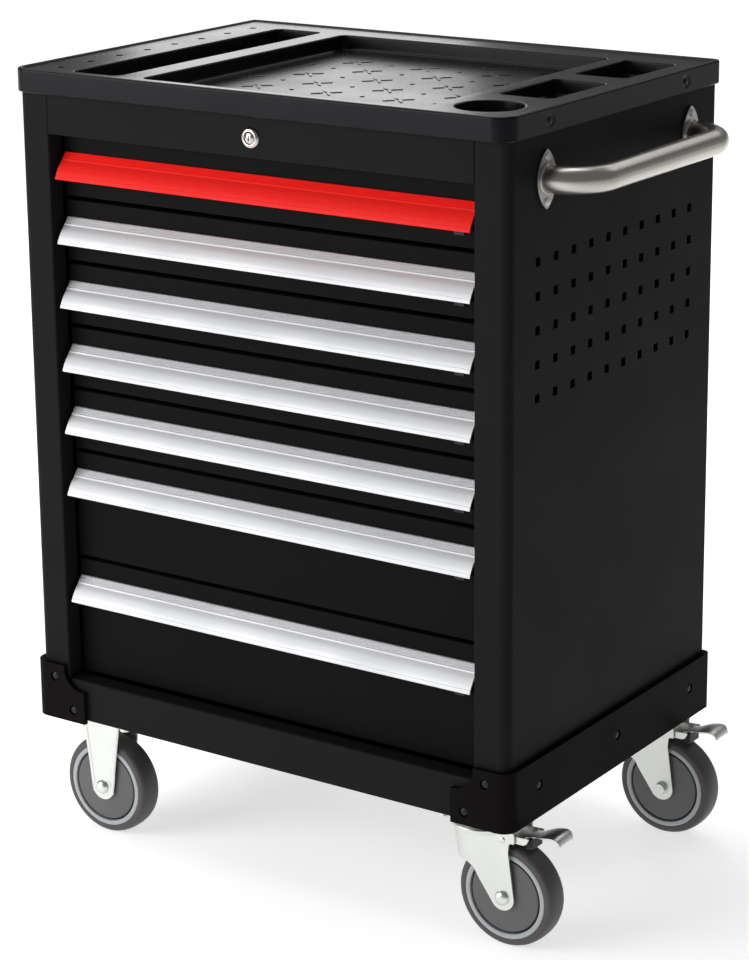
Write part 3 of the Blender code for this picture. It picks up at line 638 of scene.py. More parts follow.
def emboss():
    """The pattern on the main recess's floor: crosses of four bars, with dots between them."""
    shape = bmesh.new()
    bar = arc((0.0170, 0), 0.0015, -90, 90, 4) + arc((0.0055, 0), 0.0015, 90, 270, 4)
    for i in range(8):
        for j in range(-2, 6):
            x, y = -0.137 + 0.0493 * i, -0.097 + 0.0515 * j
            if not (-0.155 < x < 0.208 and -0.207 < y < 0.180):
                continue
            if (i + j) % 2:
                for turn in (45, 135, 225, 315):
                    a = math.radians(turn)
                    along = Vector((math.cos(a), math.sin(a)))
                    across = Vector((-math.sin(a), math.cos(a)))
                    raised(shape, [Vector((x, y)) + along * u + across * v for u, v in bar])
            else:
                raised(shape, [Vector(p) for p in arc((x, y), 0.0029, 0, 360, 14)[:-1]])
    piece(from_bmesh(shape), "tray_emboss", TRAY_PLASTIC, "cabinet", (), 60)


def raised(shape, outline):
    """Adds a low button with sloped edges to the tray's floor."""
    rise, slope = 0.0007, 0.0006
    middle = sum(outline, Vector((0, 0))) / len(outline)
    inner = [p + (middle - p).normalized() * slope for p in outline]
    low = ring(shape, outline, TRAY_FLOOR - 0.0003)
    mid = ring(shape, outline, TRAY_FLOOR + rise * 0.4)
    high = ring(shape, inner, TRAY_FLOOR + rise)
    bridge(shape, low, mid)
    bridge(shape, mid, high)
    shape.faces.new(low)
    shape.faces.new(high)


# --------------------------------------------------------------- bumpers

BUMPER_LOW, BUMPER_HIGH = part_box("right_bumper")
BUMPER_WALL = 0.0062
BUMPER_PROUD = BUMPER_HIGH.y - HALF_DEPTH
BUMPER_REACH = 0.071
NOTCH_RADIUS, NOTCH_FLAT = 0.027, 0.003
BUMPER_FRONT_RADIUS, BUMPER_REAR_RADIUS = 0.018, 0.0085
SCREW_HOLE_RADIUS, SCREW_HOLE_DEPTH = 0.0062, 0.0024
# Across and up, on the front and rear faces and on the sides
FRONT_SCREWS = [(0.312, 0.205), (0.284, 0.1655)]
SIDE_SCREWS = [(-0.1716, 0.189), (0.0063, 0.189), (0.1849, 0.189)]


def bumpers():
    outer_x, outer_y = HALF_WIDTH + BUMPER_PROUD, HALF_DEPTH + BUMPER_PROUD
    start_x = HALF_WIDTH - BUMPER_REACH
    front, rear = BUMPER_FRONT_RADIUS, BUMPER_REAR_RADIUS
    path = [(start_x, -outer_y), *arc((outer_x - front, -outer_y + front), front, -90, 0, 12)]
    path += [*arc((outer_x - rear, outer_y - rear), rear, 0, 90, 8), (start_x, outer_y)]
    screws = []
    for side, word in ((-1, "left"), (1, "right")):
        run = path if side > 0 else [(-x, y) for x, y in path][::-1]
        guard = folded_sheet(run, "Z", BUMPER_LOW.z, BUMPER_HIGH.z, BUMPER_WALL)
        across = (side * (start_x + NOTCH_FLAT), BUMPER_HIGH.z - NOTCH_FLAT)
        cut(guard, rod("Y", NOTCH_RADIUS, -0.3, 0.3, across, 64))
        bevelled(guard, 0.0016, 3, 42)
        places = [
            ("Y", end, outer_y, (side * x, z)) for end in (-1, 1) for x, z in FRONT_SCREWS
        ]
        places += [("X", side, outer_x, place) for place in SIDE_SCREWS]
        for axis, sign, face, place in places:
            seat = sign * (face - SCREW_HOLE_DEPTH)
            low, high = sorted((seat, sign * (face + 0.01)))
            cut(guard, rod(axis, SCREW_HOLE_RADIUS, low, high, place, 28))
            screws.append(dome(axis, sign, 0.0052, 0.0020, place, seat))
        piece(guard, f"{word}_corner_guard", BUMPER, "cabinet", [f"{word}_bumper"], 35)
    piece(together(*screws), "bumper_screws", DARK_SCREW, "cabinet")


# ---------------------------------------------------------------- handle

TUBE_RADIUS, TUBE_BEND = 0.015, 0.045
HANDLE_FRONT, HANDLE_REAR, HANDLE_Z = -0.158, 0.166, 0.8795
FLANGE_LENGTH, FLANGE_WIDTH, FLANGE_THICKNESS = 0.067, 0.038, 0.003
RIVET_HEIGHTS = (0.904, 0.855)


def push_handle():
    bar_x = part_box("push_handle")[1].x - MIDDLE_X - TUBE_RADIUS
    bend_x = bar_x - TUBE_BEND
    root = HALF_WIDTH + GAP
    start = root + FLANGE_THICKNESS / 2
    line = [(start, HANDLE_FRONT), *arc((bend_x, HANDLE_FRONT + TUBE_BEND), TUBE_BEND, -90, 0, 18)]
    line += [*arc((bend_x, HANDLE_REAR - TUBE_BEND), TUBE_BEND, 0, 90, 18), (start, HANDLE_REAR)]
    tube = sweep([Vector((x, y, HANDLE_Z)) for x, y in line], TUBE_RADIUS, 48)
    piece(tube, "push_handle_tube", STAINLESS, "cabinet", ["push_handle"])
    fittings, rivets = [], []
    half_length, half_width = FLANGE_LENGTH / 2, FLANGE_WIDTH / 2
    radius = (half_length**2 + half_width**2) / (2 * half_width)
    reach = math.degrees(math.asin(half_length / radius)) - 7
    for y in (HANDLE_FRONT, HANDLE_REAR):
        right = arc((y + half_width - radius, HANDLE_Z), radius, -reach, reach, 16)
        left = arc((y - half_width + radius, HANDLE_Z), radius, 180 - reach, 180 + reach, 16)
        tip, toe = (y, HANDLE_Z + half_length), (y, HANDLE_Z - half_length)
        lens = filleted([*right, tip, *left, toe], 0.006, 4, True)
        fittings.append(plate(lens, "X", root, root + FLANGE_THICKNESS, 0.0007))
        # A weld bead round the tube's foot
        turns = [math.radians(a) for a in range(-30, 120, 15)]
        sunk = TUBE_RADIUS - 0.001
        bead = [(sunk + 0.0028 * math.cos(a), 0.0024 * math.sin(a)) for a in turns] + [(sunk, -0.001)]
        fittings.append(lathe(bead, 48, "X", (root + FLANGE_THICKNESS, y, HANDLE_Z), True))
        for z in RIVET_HEIGHTS:
            rivets.append(dome("X", 1, 0.0048, 0.0030, (y, z), root + FLANGE_THICKNESS))
    piece(together(*fittings), "push_handle_flanges", STEEL, "cabinet")
    piece(together(*rivets), "push_handle_rivets", ALUMINIUM, "cabinet")


# --------------------------------------------------------------- drawers


BOX_HALF = 0.278
FRONT_DEPTH = 0.013
BOX_LIFT, BOX_DROP = 0.005, 0.015
HEM_WIDTH, HEM_DEPTH = 0.0028, 0.008
# Half of a C-shaped rail: across from the drawer's middle, up from the rail's
RAIL_HALF_SECTION = [(0.2778, 0.008), (0.2825, 0.008), (0.2825, 0.0068), (0.2792, 0.0068)]


def pan(low, high, open_sides, edge):
    """A pressed sheet box with rounded edges, without the sides named."""
    shape = bmesh.new()
    middle = (Vector(low) + Vector(high)) / 2
    size = Matrix.Diagonal((*(Vector(high) - Vector(low)), 1))
    bmesh.ops.create_cube(shape, size=1, matrix=Matrix.Translation(middle) @ size)
    shape.normal_update()
    away = set()
    for side in open_sides:
        direction = Vector([(side[1] == letter) * (1 if side[0] == "+" else -1) for letter in "XYZ"])
        away |= {face for face in shape.faces if face.normal.dot(direction) > 0.9}
    folds = [e for e in shape.edges if not any(f in away for f in e.link_faces)]
    bmesh.ops.delete(shape, geom=list(away), context="FACES")
    bmesh.ops.bevel(shape, geom=folds, offset=edge, segments=4, profile=0.5, affect="EDGES")
    return thickened(open_mesh(shape), SHEET)


def drawers():
    section = mirrored(RAIL_HALF_SECTION)
    for number in DRAWERS:
        body = f"drawer_{number}"
        node = f"{body}_box"
        low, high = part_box(node)
        half = (high.x - low.x) / 2
        front = pan((-half, FRONT_FACE, low.z), (half, FRONT_FACE + FRONT_DEPTH, high.z), ["+Y"], 0.0022)
        # The front's darker coat holds painted shade from its pull and its recess.
        piece(front, f"{body}_front", DRAWER_COAT_AND_SHADE, body, [node])
        bottom, top, back = low.z + BOX_LIFT, high.z - BOX_DROP, high.y
        tub = pan((-BOX_HALF, FRONT_FACE + SHEET, bottom), (BOX_HALF, back, top), ["+Z", "-Y"], 0.003)
        start, below, above = FRONT_FACE + 0.002, top - HEM_DEPTH, top + 0.0004
        hems = [
            block((-BOX_HALF, start, below), (-BOX_HALF + HEM_WIDTH, back, above), 0.0011),
            block((BOX_HALF - HEM_WIDTH, start, below), (BOX_HALF, back, above), 0.0011),
            block((-BOX_HALF, back - HEM_WIDTH, below), (BOX_HALF, back, above), 0.0011),
        ]
        piece(together(tub, *hems), f"{body}_tub", POWDER_COAT, body)
        middle = (bottom + top) / 2
        rails = []
        for side in (-1, 1):
            outline = [(side * x, middle + z) for x, z in section]
            rails.append(plate(outline, "Y", -0.191, 0.189, 0.0003, 1))
        piece(together(*rails), f"{body}_slide_members", ZINC, body)


PULL_HALF = 0.287
RIDGES, RIDGE_STEP = 5, 0.00015
# The small tab under each pull's right end
TAB_LEFT, TAB_RIGHT = 0.2650, 0.2780


def pull_section():
    """The pull's section as (forward, down): its outer skin and then its inner one."""
    outer = [(0.0003, 0.0), (0.0021, 0.0), (0.0026, 0.0002)]
    # Fine grip ridges along the sloping top
    start, along = Vector((0.0027, 0.0005)), Vector((0.0054, 0.0068))
    out = Vector((0.80, -0.60)) * RIDGE_STEP
    for k in range(RIDGES):
        for share, lift in ((0.14, -4), (0.32, 1), (0.68, 1), (0.86, -4)):
            outer.append(tuple(start + along * ((k + share) / RIDGES) + out * lift))
    outer += [(0.0084, 0.0074), (0.0088, 0.0079), (0.0090, 0.0088)]
    face = [(0.0090, 0.0088), (0.0140, 0.0142), (0.0184, 0.0205), (0.0206, 0.0248)]
    outer += curved(face, 4)[1:]
    outer += [
        (0.0207, 0.0252), (0.0211, 0.0254), (0.0218, 0.0269), (0.0224, 0.0287), (0.0222, 0.0298),
        (0.0213, 0.0302),
    ]
    inner = [(0.0202, 0.0296), (0.0193, 0.0270), (0.0165, 0.0215), (0.0120, 0.0158), (0.0070, 0.0108)]
    return outer + curved(inner, 3) + [(0.0022, 0.0100), (0.0022, 0.0240), (0.0003, 0.0240)]


def curved(points, steps):
    """A smooth line through the points."""
    line = []
    last = len(points) - 1
    for i in range(last):
        p0, p1, p2, p3 = (Vector(points[max(0, min(last, k))]) for k in (i - 1, i, i + 1, i + 2))
        for k in range(steps):
            t = k / steps
            line.append(tuple(0.5 * (
                2 * p1 + (p2 - p0) * t + (2 * p0 - 5 * p1 + 4 * p2 - p3) * t**2
                + (3 * p1 - p0 - 3 * p2 + p3) * t**3
            )))
    line.append(points[-1])
    return line


def drawer_pulls():
    section = pull_section()
    cap = [
        (0.0008, 0.0015), (0.0075, 0.0078), (0.0136, 0.0146), (0.0180, 0.0208), (0.0206, 0.0264),
        (0.0206, 0.0290), (0.0150, 0.0290), (0.0010, 0.0290),
    ]
    for number in DRAWERS:
        node = f"drawer_{number}_pull"
        body = f"drawer_{number}"
        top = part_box(node)[1].z
        finish = RED if number == 1 else ALUMINIUM
        outline = [(FRONT_FACE - forward, top - down) for forward, down in section]
        bar = plate(outline, "X", -PULL_HALF, PULL_HALF)
        piece(bar, f"{node}_bar", finish, body, [node], 32)
        cap_outline = [(FRONT_FACE - forward, top - down) for forward, down in cap]
        ends = []
        for side in (-1, 1):
            start, end = sorted((side * (PULL_HALF - 0.0006), side * (PULL_HALF - 0.0035)))
            ends.append(plate(cap_outline, "X", start, end, 0.0003, 1))
        tab_y = FRONT_FACE - 0.0150
        tab_low = (TAB_LEFT, tab_y - 0.004, top - 0.0345)
        tab_high = (TAB_RIGHT, tab_y + 0.003, top - 0.0285)
        ends.append(block(tab_low, tab_high, 0.0006))
        piece(together(*ends), f"{node}_end_caps", BLACK_MOULDED, body)


# ------------------------------------------------------------------ lock

LOCK_LOW, LOCK_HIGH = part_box("lock_body")
LOCK_X = (LOCK_LOW.x + LOCK_HIGH.x) / 2 - MIDDLE_X
LOCK_Z = (LOCK_LOW.z + LOCK_HIGH.z) / 2


def lock():
    front = -HALF_DEPTH
    place = (LOCK_X, front, LOCK_Z)
    bezel = [
        (0.0072, 0.0024), (0.0075, 0.0032), (0.0086, 0.0034), (0.0098, 0.0031), (0.0109, 0.0024),
        (0.0117, 0.0014), (0.0121, 0.0004), (0.0121, GAP), (0.0095, GAP), (0.0095, -0.0180),
        (0.0072, -0.0180),
    ]
    piece(lathe(bezel, 56, "Y", place, True), "lock_bezel", CHROME, "cabinet", ["lock_body"])
    plug = lathe([
        (0, -0.0205), (0.0067, -0.0205), (0.0067, 0.0022), (0.0063, 0.0029), (0.0050, 0.0036),
        (0.0030, 0.0041), (0.0014, 0.0043), (0, 0.0043),
    ], 48, "Y", place)
    half_slot = (0.0009, 0.0030)
    cut(plug, block(
        (LOCK_X - half_slot[0], front - 0.01, LOCK_Z - half_slot[1]),
        (LOCK_X + half_slot[0], front + 0.006, LOCK_Z + half_slot[1]),
    ))
    pin_place = (LOCK_X + 0.010, LOCK_Z)
    cam = filleted([
        *arc((LOCK_X, LOCK_Z), 0.0060, 90, 270, 16), *arc(pin_place, 0.0040, -90, 90, 12)
    ], 0.001, 2, True)
    cam = plate(cam, "Y", front + 0.0195, front + 0.0215, 0.0003, 1)
    pin = rod("Y", 0.0020, front + 0.0200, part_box("lock_cylinder")[1].y, pin_place, 20)
    piece(together(plug, cam, pin), "lock_plug", CHROME, "lock_cylinder", ["lock_cylinder"])


# --------------------------------------------------------------- casters

WHEEL_RADIUS = 0.0625
FRONT_CASTER_Y, REAR_CASTER_Y = -0.194, 0.180
SWIVEL_X, FIXED_X, TRAIL = 0.284, -0.260, 0.038
LEG_INNER, LEG_WALL = 0.0192, 0.0025
LEG_OUTER = LEG_INNER + LEG_WALL
PLATE_TOP = BODY_BOTTOM - GAP
PLATE_HALF_LENGTH, PLATE_HALF_WIDTH, PLATE_THICKNESS = 0.050, 0.031, 0.003
BOLT_X, BOLT_Y = 0.040, 0.0225
CROWN_BOTTOM, CROWN_TOP = 0.1371, 0.1432
PEDAL_PIVOT = (0.045, 0.1335)
# Half widths of the pedal: between the cheeks and at the neck
PEDAL_WIDE, PEDAL_NECK = 0.0176, 0.0108


def wheel(word, x, y):
    """Four rings on one axle: a tyre, its rim, the hub's disc and a black ring of painted shade in the gap
    round it.
    """
    body = f"{word}_wheel"

    def turned(half, name, finish, slot=None, replaces=()):
        made = lathe(mirrored(half), 96, "Y", (x, y, WHEEL_RADIUS), True)
        piece(made, f"{word}_{name}", finish, body, replaces)

    turned([
        (0.0518, 0.0140), (0.0519, 0.0155), (0.0528, 0.0161), (0.0566, 0.0160), (0.0590, 0.0150),
        (0.0606, 0.0131), (0.0617, 0.0100), (0.0623, 0.0058), (0.0625, 0.0015),
    ], "tyre", TREAD, "grey_tread", [f"{word}_wheel"])
    turned([
        (0.0462, 0.0080), (0.0462, 0.0154), (0.0467, 0.0162), (0.0484, 0.0166), (0.0507, 0.0165),
        (0.0518, 0.0160), (0.0519, 0.0154), (0.0519, 0.0120),
    ], "rim", RIM)
    turned([
        (0.0057, 0.0172), (0.0100, 0.0174), (0.0160, 0.0172), (0.0180, 0.0164), (0.0380, 0.0155),
        (0.0428, 0.0154), (0.0436, 0.0149), (0.0438, 0.0138),
    ], "hub_disc", DISC)
    # A black ring at the floor of the gap between the disc and the rim: painted shade in the gap.
    turned([(0.0436, 0.0128), (0.0464, 0.0128)], "hub_gap_shade", BLACK_MOULDED)


def axle(word, x, y, body):
    outer = LEG_OUTER
    shank = [
        (0.0, outer + 0.0056), (0.0030, outer + 0.0054), (0.0058, outer + 0.0046),
        (0.0078, outer + 0.0031), (0.0088, outer + 0.0014), (0.0090, outer + 0.0001),
        (0.0050, outer - 0.0001), (0.0050, -outer + 0.0001), (0.0085, -outer - 0.0001),
        (0.0085, -outer - 0.0012), (0.0, -outer - 0.0012),
    ]
    # The domed head faces away from the cabinet's middle and the nut faces it
    bolt = lathe(shank if y < 0 else [(r, -h) for r, h in shank], 40, "Y", (x, y, WHEEL_RADIUS))
    side = 1 if y < 0 else -1
    nut = hexagon("Y", side, 0.013, 0.0050, (x, WHEEL_RADIUS), y + side * (outer + 0.0010))
    piece(together(bolt, nut), f"{word}_axle_bolt", ZINC, body, [f"{word}_axle"])


def top_plate(x, y):
    outline = rounded_rectangle(
        x - PLATE_HALF_LENGTH, x + PLATE_HALF_LENGTH, y - PLATE_HALF_WIDTH, y + PLATE_HALF_WIDTH, 0.008,
    )
    return plate(outline, "Z", PLATE_TOP - PLATE_THICKNESS, PLATE_TOP, 0.0006)


def plate_bolts(x, y):
    heads = []
    for dx in (-BOLT_X, BOLT_X):
        for dy in (-BOLT_Y, BOLT_Y):
            heads.append(hexagon("Z", -1, 0.0115, 0.0044, (x + dx, y + dy), PLATE_TOP - PLATE_THICKNESS))
    return heads


def fork_plan(x, y, reach, front, half_width=LEG_OUTER):
    """A U from above: two straight sides and a bend at the rear."""
    bend = [(x + reach * c, y + half_width * s) for c, s in arc((0, 0), 1, 90, 270, 24)]
    return [(x + front, y + half_width), *bend, (x + front, y - half_width)]


def fork(word, x, y):
    body = f"{word}_fork"
    shape = bmesh.new()
    rows = []
    for z, reach in ((0.0440, 0.0230), (CROWN_TOP, 0.0395)):
        rows.append([shape.verts.new((*p, z)) for p in fork_plan(x, y, reach, 0.056)])
    strip(shape, *rows)
    sheet = thickened(open_mesh(shape), LEG_WALL)
    notch = filleted([(x + 0.0458, 0.1230), (x + 0.0468, 0.1307), (x + 0.0530, 0.1307)], 0.006, 6)
    side_outline = [
        (x - 0.0500, 0.0970), (x - 0.0220, 0.0968), (x - 0.0080, 0.0950), (x, 0.0907),
        (x + 0.0077, 0.0784), *arc((x + TRAIL, WHEEL_RADIUS), 0.0155, 209, 355, 20),
        (x + 0.0455, 0.1180), *notch[1:-1], (x + 0.0530, 0.1307),
        (x + 0.0530, CROWN_TOP + 0.01), (x - 0.0500, CROWN_TOP + 0.01),
    ]
    combine(sheet, plate(side_outline, "Y", y - 0.03, y + 0.03), "INTERSECT")
    bevelled(sheet, 0.0005, 2, 50)
    crown_plan = fork_plan(x, y, 0.0372, 0.0300, 0.0210)
    crown = plate(crown_plan, "Z", CROWN_BOTTOM, CROWN_TOP - 0.0004, 0.0006)
    disc = lathe([
        (0.0066, CROWN_TOP + 0.0006), (0.0335, CROWN_TOP + 0.0006), (0.0356, CROWN_TOP),
        (0.0365, CROWN_TOP - 0.0012), (0.0365, CROWN_BOTTOM + 0.0004), (0.0358, CROWN_BOTTOM - 0.0006),
        (0.0066, CROWN_BOTTOM - 0.0006),
    ], 64, "Z", (x, y, 0), True)
    rivet_place = (x + 0.0380, 0.1330)
    rivets = [dome("Y", side, 0.0040, 0.0016, rivet_place, y + side * LEG_OUTER) for side in (-1, 1)]
    pressing = together(sheet, crown, disc, *rivets)
    piece(pressing, f"{word}_fork_pressing", ZINC, body, [f"{word}_fork"], 35)
    plate_on_top = top_plate(x, y)
    race = lathe([
        (0.0, PLATE_TOP - 0.001), (0.0290, PLATE_TOP - 0.001), (0.0290, 0.1486), (0.0282, 0.1474),
        (0.0250, 0.1444), (0.0060, 0.1444), (0.0060, 0.1335), (0.0, 0.1335),
    ], 64, "Z", (x, y, 0))
    king_nut = hexagon("Z", -1, 0.0165, 0.0040, (x, y), 0.1345)
    top = together(plate_on_top, race, *plate_bolts(x, y), king_nut)
    piece(top, f"{word}_swivel_top", ZINC, "cabinet", [f"{word}_swivel_plate"], 35)


def pedal_half_width(forward):
    """Wide between the cheeks, narrow at the neck, wide again and rounded at the tab's corners."""
    flare = PEDAL_WIDE - PEDAL_NECK
    if forward < 0.016:
        half = PEDAL_WIDE
    elif forward < 0.030:
        half = PEDAL_WIDE - flare * math.sin(math.radians(90 * min(1, (forward - 0.016) / 0.006)))
    else:
        half = PEDAL_NECK + flare * math.sin(math.radians(90 * min(1, (forward - 0.030) / 0.016)))
    corner = max(0.0, (forward - 0.056) / 0.009)
    return half - 0.0035 * corner**2


def pedal(word, x, y):
    """A pressed lever with cheeks between the fork's legs, a neck and a curled tab, and its shoe."""
    pivot_x, pivot_z = x + PEDAL_PIVOT[0], PEDAL_PIVOT[1]
    body = f"{word}_brake_pedal"
    line = curved([
        (-0.0030, 0.0052), (0.0060, 0.0062), (0.0200, 0.0068), (0.0300, 0.0092), (0.0420, 0.0128),
        (0.0520, 0.0146), (0.0580, 0.0142), (0.0622, 0.0112), (0.0645, 0.0058),
    ], 4)
    shape = bmesh.new()
    rows = []
    for forward, up in line:
        half = pedal_half_width(forward)
        rows.append([
            shape.verts.new((pivot_x + forward, y + share * half, pivot_z + up - 0.0012 * share**4))
            for share in (-1, -0.92, -0.6, -0.2, 0.2, 0.6, 0.92, 1)
        ])
    for a, b in zip(rows, rows[1:]):
        for k in range(7):
            shape.faces.new((a[k], b[k], b[k + 1], a[k + 1]))
    lever = bevelled(thickened(open_mesh(shape), 0.0020), 0.0004, 2, 60)
    cheek = filleted([
        (pivot_x - 0.0042, pivot_z + 0.0050), (pivot_x - 0.0036, pivot_z - 0.0030),
        (pivot_x + 0.0180, pivot_z - 0.0030), (pivot_x + 0.0220, pivot_z - 0.0010),
        (pivot_x + 0.0260, pivot_z + 0.0066), (pivot_x + 0.0190, pivot_z + 0.0060),
    ], 0.0015, 3, True)
    cheeks = []
    for side in (-1, 1):
        low, high = sorted((y + side * 0.0178, y + side * 0.0160))
        cheeks.append(plate(cheek, "Y", low, high, 0.0003, 1))
    lever = together(lever, *cheeks)
    piece(lever, f"{word}_pedal_lever", ZINC, body, [f"{word}_brake_pedal"])
    shoe_low = (pivot_x + 0.0180, y - 0.0120, pivot_z - 0.0095)
    shoe_high = (pivot_x + 0.0262, y + 0.0120, pivot_z + 0.0046)
    shoe = block(shoe_low, shoe_high, 0.0012, 3)
    piece(shoe, f"{word}_brake_shoe", BLACK_MOULDED, body)


def bracket(word, x, y):
    """A pressed fixed fork: two legs with ribs along their edges, under a plate."""
    outline = [
        (x - 0.0290, PLATE_TOP - 0.0012), (x - 0.0272, 0.1400), (x - 0.0195, 0.0860),
        *arc((x, WHEEL_RADIUS), 0.0170, 190, 350, 24),
        (x + 0.0195, 0.0860), (x + 0.0272, 0.1400), (x + 0.0290, PLATE_TOP - 0.0012),
    ]
    parts = [top_plate(x, y), *plate_bolts(x, y)]
    for side in (-1, 1):
        inner, outer = side * LEG_INNER, side * (LEG_OUTER - 0.0007)
        low, high = sorted((y + inner, y + outer))
        parts.append(plate(outline, "Y", low, high, 0.0005))
        face = y + outer
        for edge in (-1, 1):
            line = curved([
                (x + edge * 0.0252, 0.1490), (x + edge * 0.0245, 0.1400), (x + edge * 0.0205, 0.1120),
                (x + edge * 0.0170, 0.0870), (x + edge * 0.0152, 0.0700), (x + edge * 0.0128, 0.0545),
            ], 5)
            points = [Vector((px, face - side * 0.0008, pz)) for px, pz in line]
            parts.append(rib(points, 0.0030, 0.0018))
        rise = -side * 0.0008
        boss = [(0.0, 0.0), (0.0134, 0.0), (0.0128, -side * 0.0006), (0.0110, rise), (0, rise)]
        parts.append(lathe(boss, 40, "Y", (x, face - side * 0.0002, WHEEL_RADIUS)))
    name = f"{word}_bracket"
    piece(together(*parts), f"{name}_pressing", ZINC, "cabinet", [name])


def rib(points, half_width, height):
    """A rounded rib along points in a plane of one y."""
    shape = bmesh.new()
    rows = []
    for i, p in enumerate(points):
        tangent = (points[min(i + 1, len(points) - 1)] - points[max(i - 1, 0)]).normalized()
        side = tangent.cross(Vector((0, 1, 0))).normalized()
        rows.append([
            shape.verts.new(p + side * half_width * math.cos(a) + Vector((0, height * math.sin(a), 0)))
            for a in (2 * math.pi * k / 12 for k in range(12))
        ])
    for a, b in zip(rows, rows[1:]):
        bridge(shape, a, b)
    shape.faces.new(rows[0])
    shape.faces.new(rows[-1])
    return from_bmesh(shape)


def casters():
    for word, y in (("front", FRONT_CASTER_Y), ("rear", REAR_CASTER_Y)):
        right, left = f"{word}_right", f"{word}_left"
        fork(right, SWIVEL_X, y)
        pedal(right, SWIVEL_X, y)
        wheel(right, SWIVEL_X + TRAIL, y)
        axle(right, SWIVEL_X + TRAIL, y, f"{right}_fork")
        bracket(left, FIXED_X, y)
        wheel(left, FIXED_X, y)
        axle(left, FIXED_X, y, "cabinet")


# -------------------------------------------------------- kept CAD nodes


def kept_nodes():
    """Finishes the CAD solids that stay in view."""
    for node in ("back_panel", "top_panel", "base_pan", "left_slide_rack", "right_slide_rack"):
        repaint(node, POWDER_COAT)
    for number in DRAWERS:
        for word in ("left", "right"):
            repaint(f"drawer_{number}_{word}_slide", ZINC)
    repaint("lock_bar", ZINC)


BACK_SCREW_INSET, BACK_SCREW_HEIGHTS = 0.0105, (0.26, 0.42, 0.58, 0.74, 0.90)


def back_fixings():
    """Screws down both rear flanges that hold the back panel."""
    heads = []
    for side in (-1, 1):
        for z in BACK_SCREW_HEIGHTS:
            place = (side * (HALF_WIDTH - BACK_SCREW_INSET), z)
            heads.append(dome("Y", 1, 0.0042, 0.0018, place, HALF_DEPTH))
    piece(together(*heads), "back_panel_screws", DARK_SCREW, "cabinet")


# ----------------------------------------------------------------- stage


FLOOR_REACH = 60
# The floor's own glow, near the chest and far behind it, and what is left of it to the right
NEAR_GLOW, FAR_GLOW, RIGHT_GLOW = 0.62, 0.90, 0.3
BEHIND_START, BEHIND_END = 0.8, 4.0
RIGHT_START, RIGHT_END = 0.5, 2.1


def stage():
    """A white floor. It glows a little, less to the right of the chest and more far behind it."""
    mesh = bpy.data.meshes.new("floor")
    x = y = FLOOR_REACH
    mesh.from_pydata([(-x, -y, 0), (x, -y, 0), (x, y, 0), (-x, y, 0)], [], [(0, 1, 2, 3)])
    floor = new_object(mesh)
    floor.name = "floor"
    finish = surface(
        "floor", (0.93, 0.93, 0.93), 0.75, specular=0.1, tint=(0.92, 0.92, 0.92), grain=300, bump=0.01,
    )
    tree = finish.node_tree
    place = add_node(tree, "TexCoord")
    split = add_node(tree, "SeparateXYZ")
    behind = add_node(
        tree, "MapRange", From_Min=BEHIND_START, From_Max=BEHIND_END, To_Min=NEAR_GLOW, To_Max=FAR_GLOW,
    )
    right = add_node(tree, "MapRange", From_Min=RIGHT_START, From_Max=RIGHT_END, To_Max=RIGHT_GLOW)
    behind.interpolation_type = right.interpolation_type = "SMOOTHSTEP"
    tree.links.new(place.outputs["Object"], split.inputs["Vector"])
    tree.links.new(split.outputs["Y"], behind.inputs["Value"])
    tree.links.new(split.outputs["X"], right.inputs["Value"])
    tree.links.new(behind.outputs["Result"], right.inputs["To Min"])
    shader = tree.nodes["Principled BSDF"]
    shader.inputs["Emission Color"].default_value = (1, 1, 1, 1)
    tree.links.new(right.outputs["Result"], shader.inputs["Emission Strength"])
    floor.data.materials.append(finish)


SURROUND_LIGHT = 0.18
# Each softbox: name, place, target, width, height and radiance
SOFTBOXES = [
    ("overhead", (-1.4, 0.5, 3.4), (-0.7, 0.1, 0), 2.8, 2.8, 2.3),
    ("front_left", (-2.6, -3.5, 1.75), (0, 0, 0.6), 3.0, 2.7, 4.6),
    ("rear_left", (-2.36, 3.1, 1.5), (0, 0, 0.9), 0.85, 2.8, 2.0),
    ("rear_right", (2.7, 3.3, 1.0), (0.3, 0, 0.7), 1.8, 1.7, 0.10),
    ("rear_top", (0.6, 2.7, 3.0), (0, 0, 0.9), 2.6, 1.2, 1.0),
]


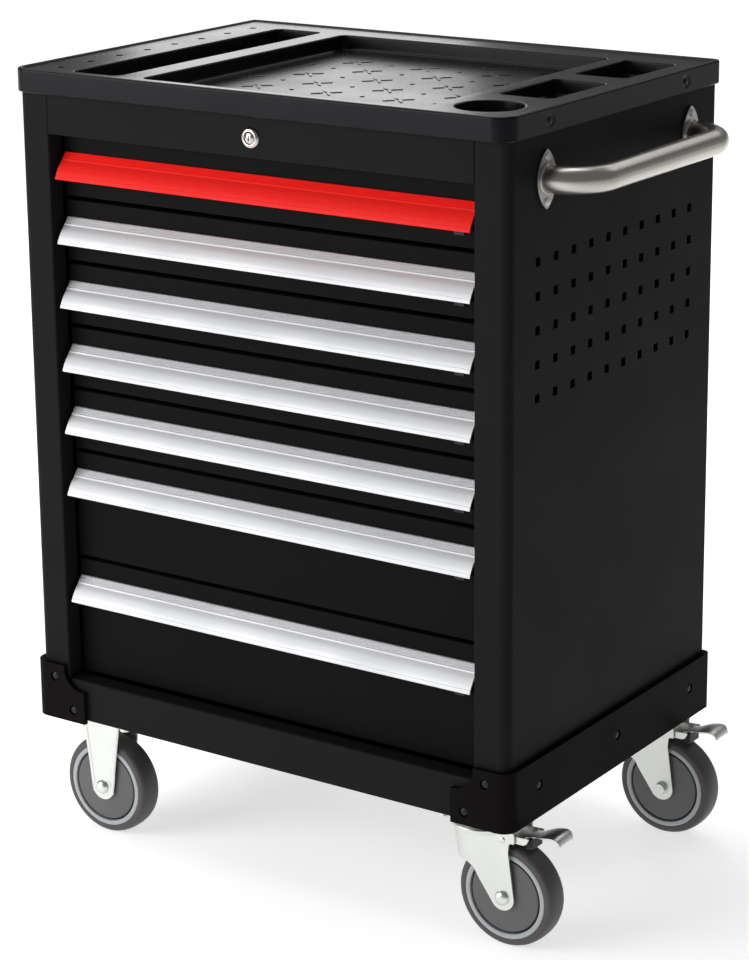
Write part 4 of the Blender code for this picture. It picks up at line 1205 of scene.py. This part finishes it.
def lighting():
    world = bpy.data.worlds.new("studio")
    bpy.context.scene.world = world
    world.use_nodes = True
    background = world.node_tree.nodes["Background"]
    background.inputs["Color"].default_value = (1, 1, 1, 1)
    background.inputs["Strength"].default_value = SURROUND_LIGHT
    for name, place, target, width, height, radiance in SOFTBOXES:
        light = bpy.data.lights.new(name, "AREA")
        light.shape = "RECTANGLE"
        light.size = width
        light.size_y = height
        light.energy = radiance * math.pi * width * height
        obj = bpy.data.objects.new(name, light)
        obj.location = place
        obj.rotation_euler = (Vector(target) - Vector(place)).to_track_quat("-Z", "Y").to_euler()
        obj.visible_camera = False
        bpy.context.scene.collection.objects.link(obj)
    bpy.context.scene.view_settings.view_transform = "Standard"


# Solved from the straight edges of the cabinet. The yaw turns from +Y towards -X.
CAMERA_PLACE = (1.8443, -2.7385, 1.4610)
CAMERA_YAW, CAMERA_PITCH, CAMERA_ROLL = math.radians(34.52), math.radians(-15.44), -0.0104
CAMERA_LENS, CAMERA_SENSOR, CAMERA_SHIFT = 106.98, 36, (0.0111, -0.080)


def camera():
    data = bpy.data.cameras.new("camera")
    data.lens = CAMERA_LENS
    data.sensor_width = CAMERA_SENSOR
    data.shift_x, data.shift_y = CAMERA_SHIFT
    yaw, pitch, roll = CAMERA_YAW, CAMERA_PITCH, CAMERA_ROLL
    forward = Vector((-math.sin(yaw) * math.cos(pitch), math.cos(yaw) * math.cos(pitch), math.sin(pitch)))
    level = Vector((math.cos(yaw), math.sin(yaw), 0))
    above = level.cross(forward)
    right = level * math.cos(roll) + above * math.sin(roll)
    up = above * math.cos(roll) - level * math.sin(roll)
    turned = Matrix((right, up, -forward)).transposed().to_4x4()
    obj = bpy.data.objects.new("camera", data)
    obj.matrix_world = Matrix.Translation(CAMERA_PLACE) @ turned
    bpy.context.scene.collection.objects.link(obj)
    bpy.context.scene.camera = obj


side_panels()
front_rails()
worktop_tray()
emboss()
bumpers()
push_handle()
drawers()
drawer_pulls()
lock()
casters()
kept_nodes()
back_fixings()
stage()
lighting()
camera()
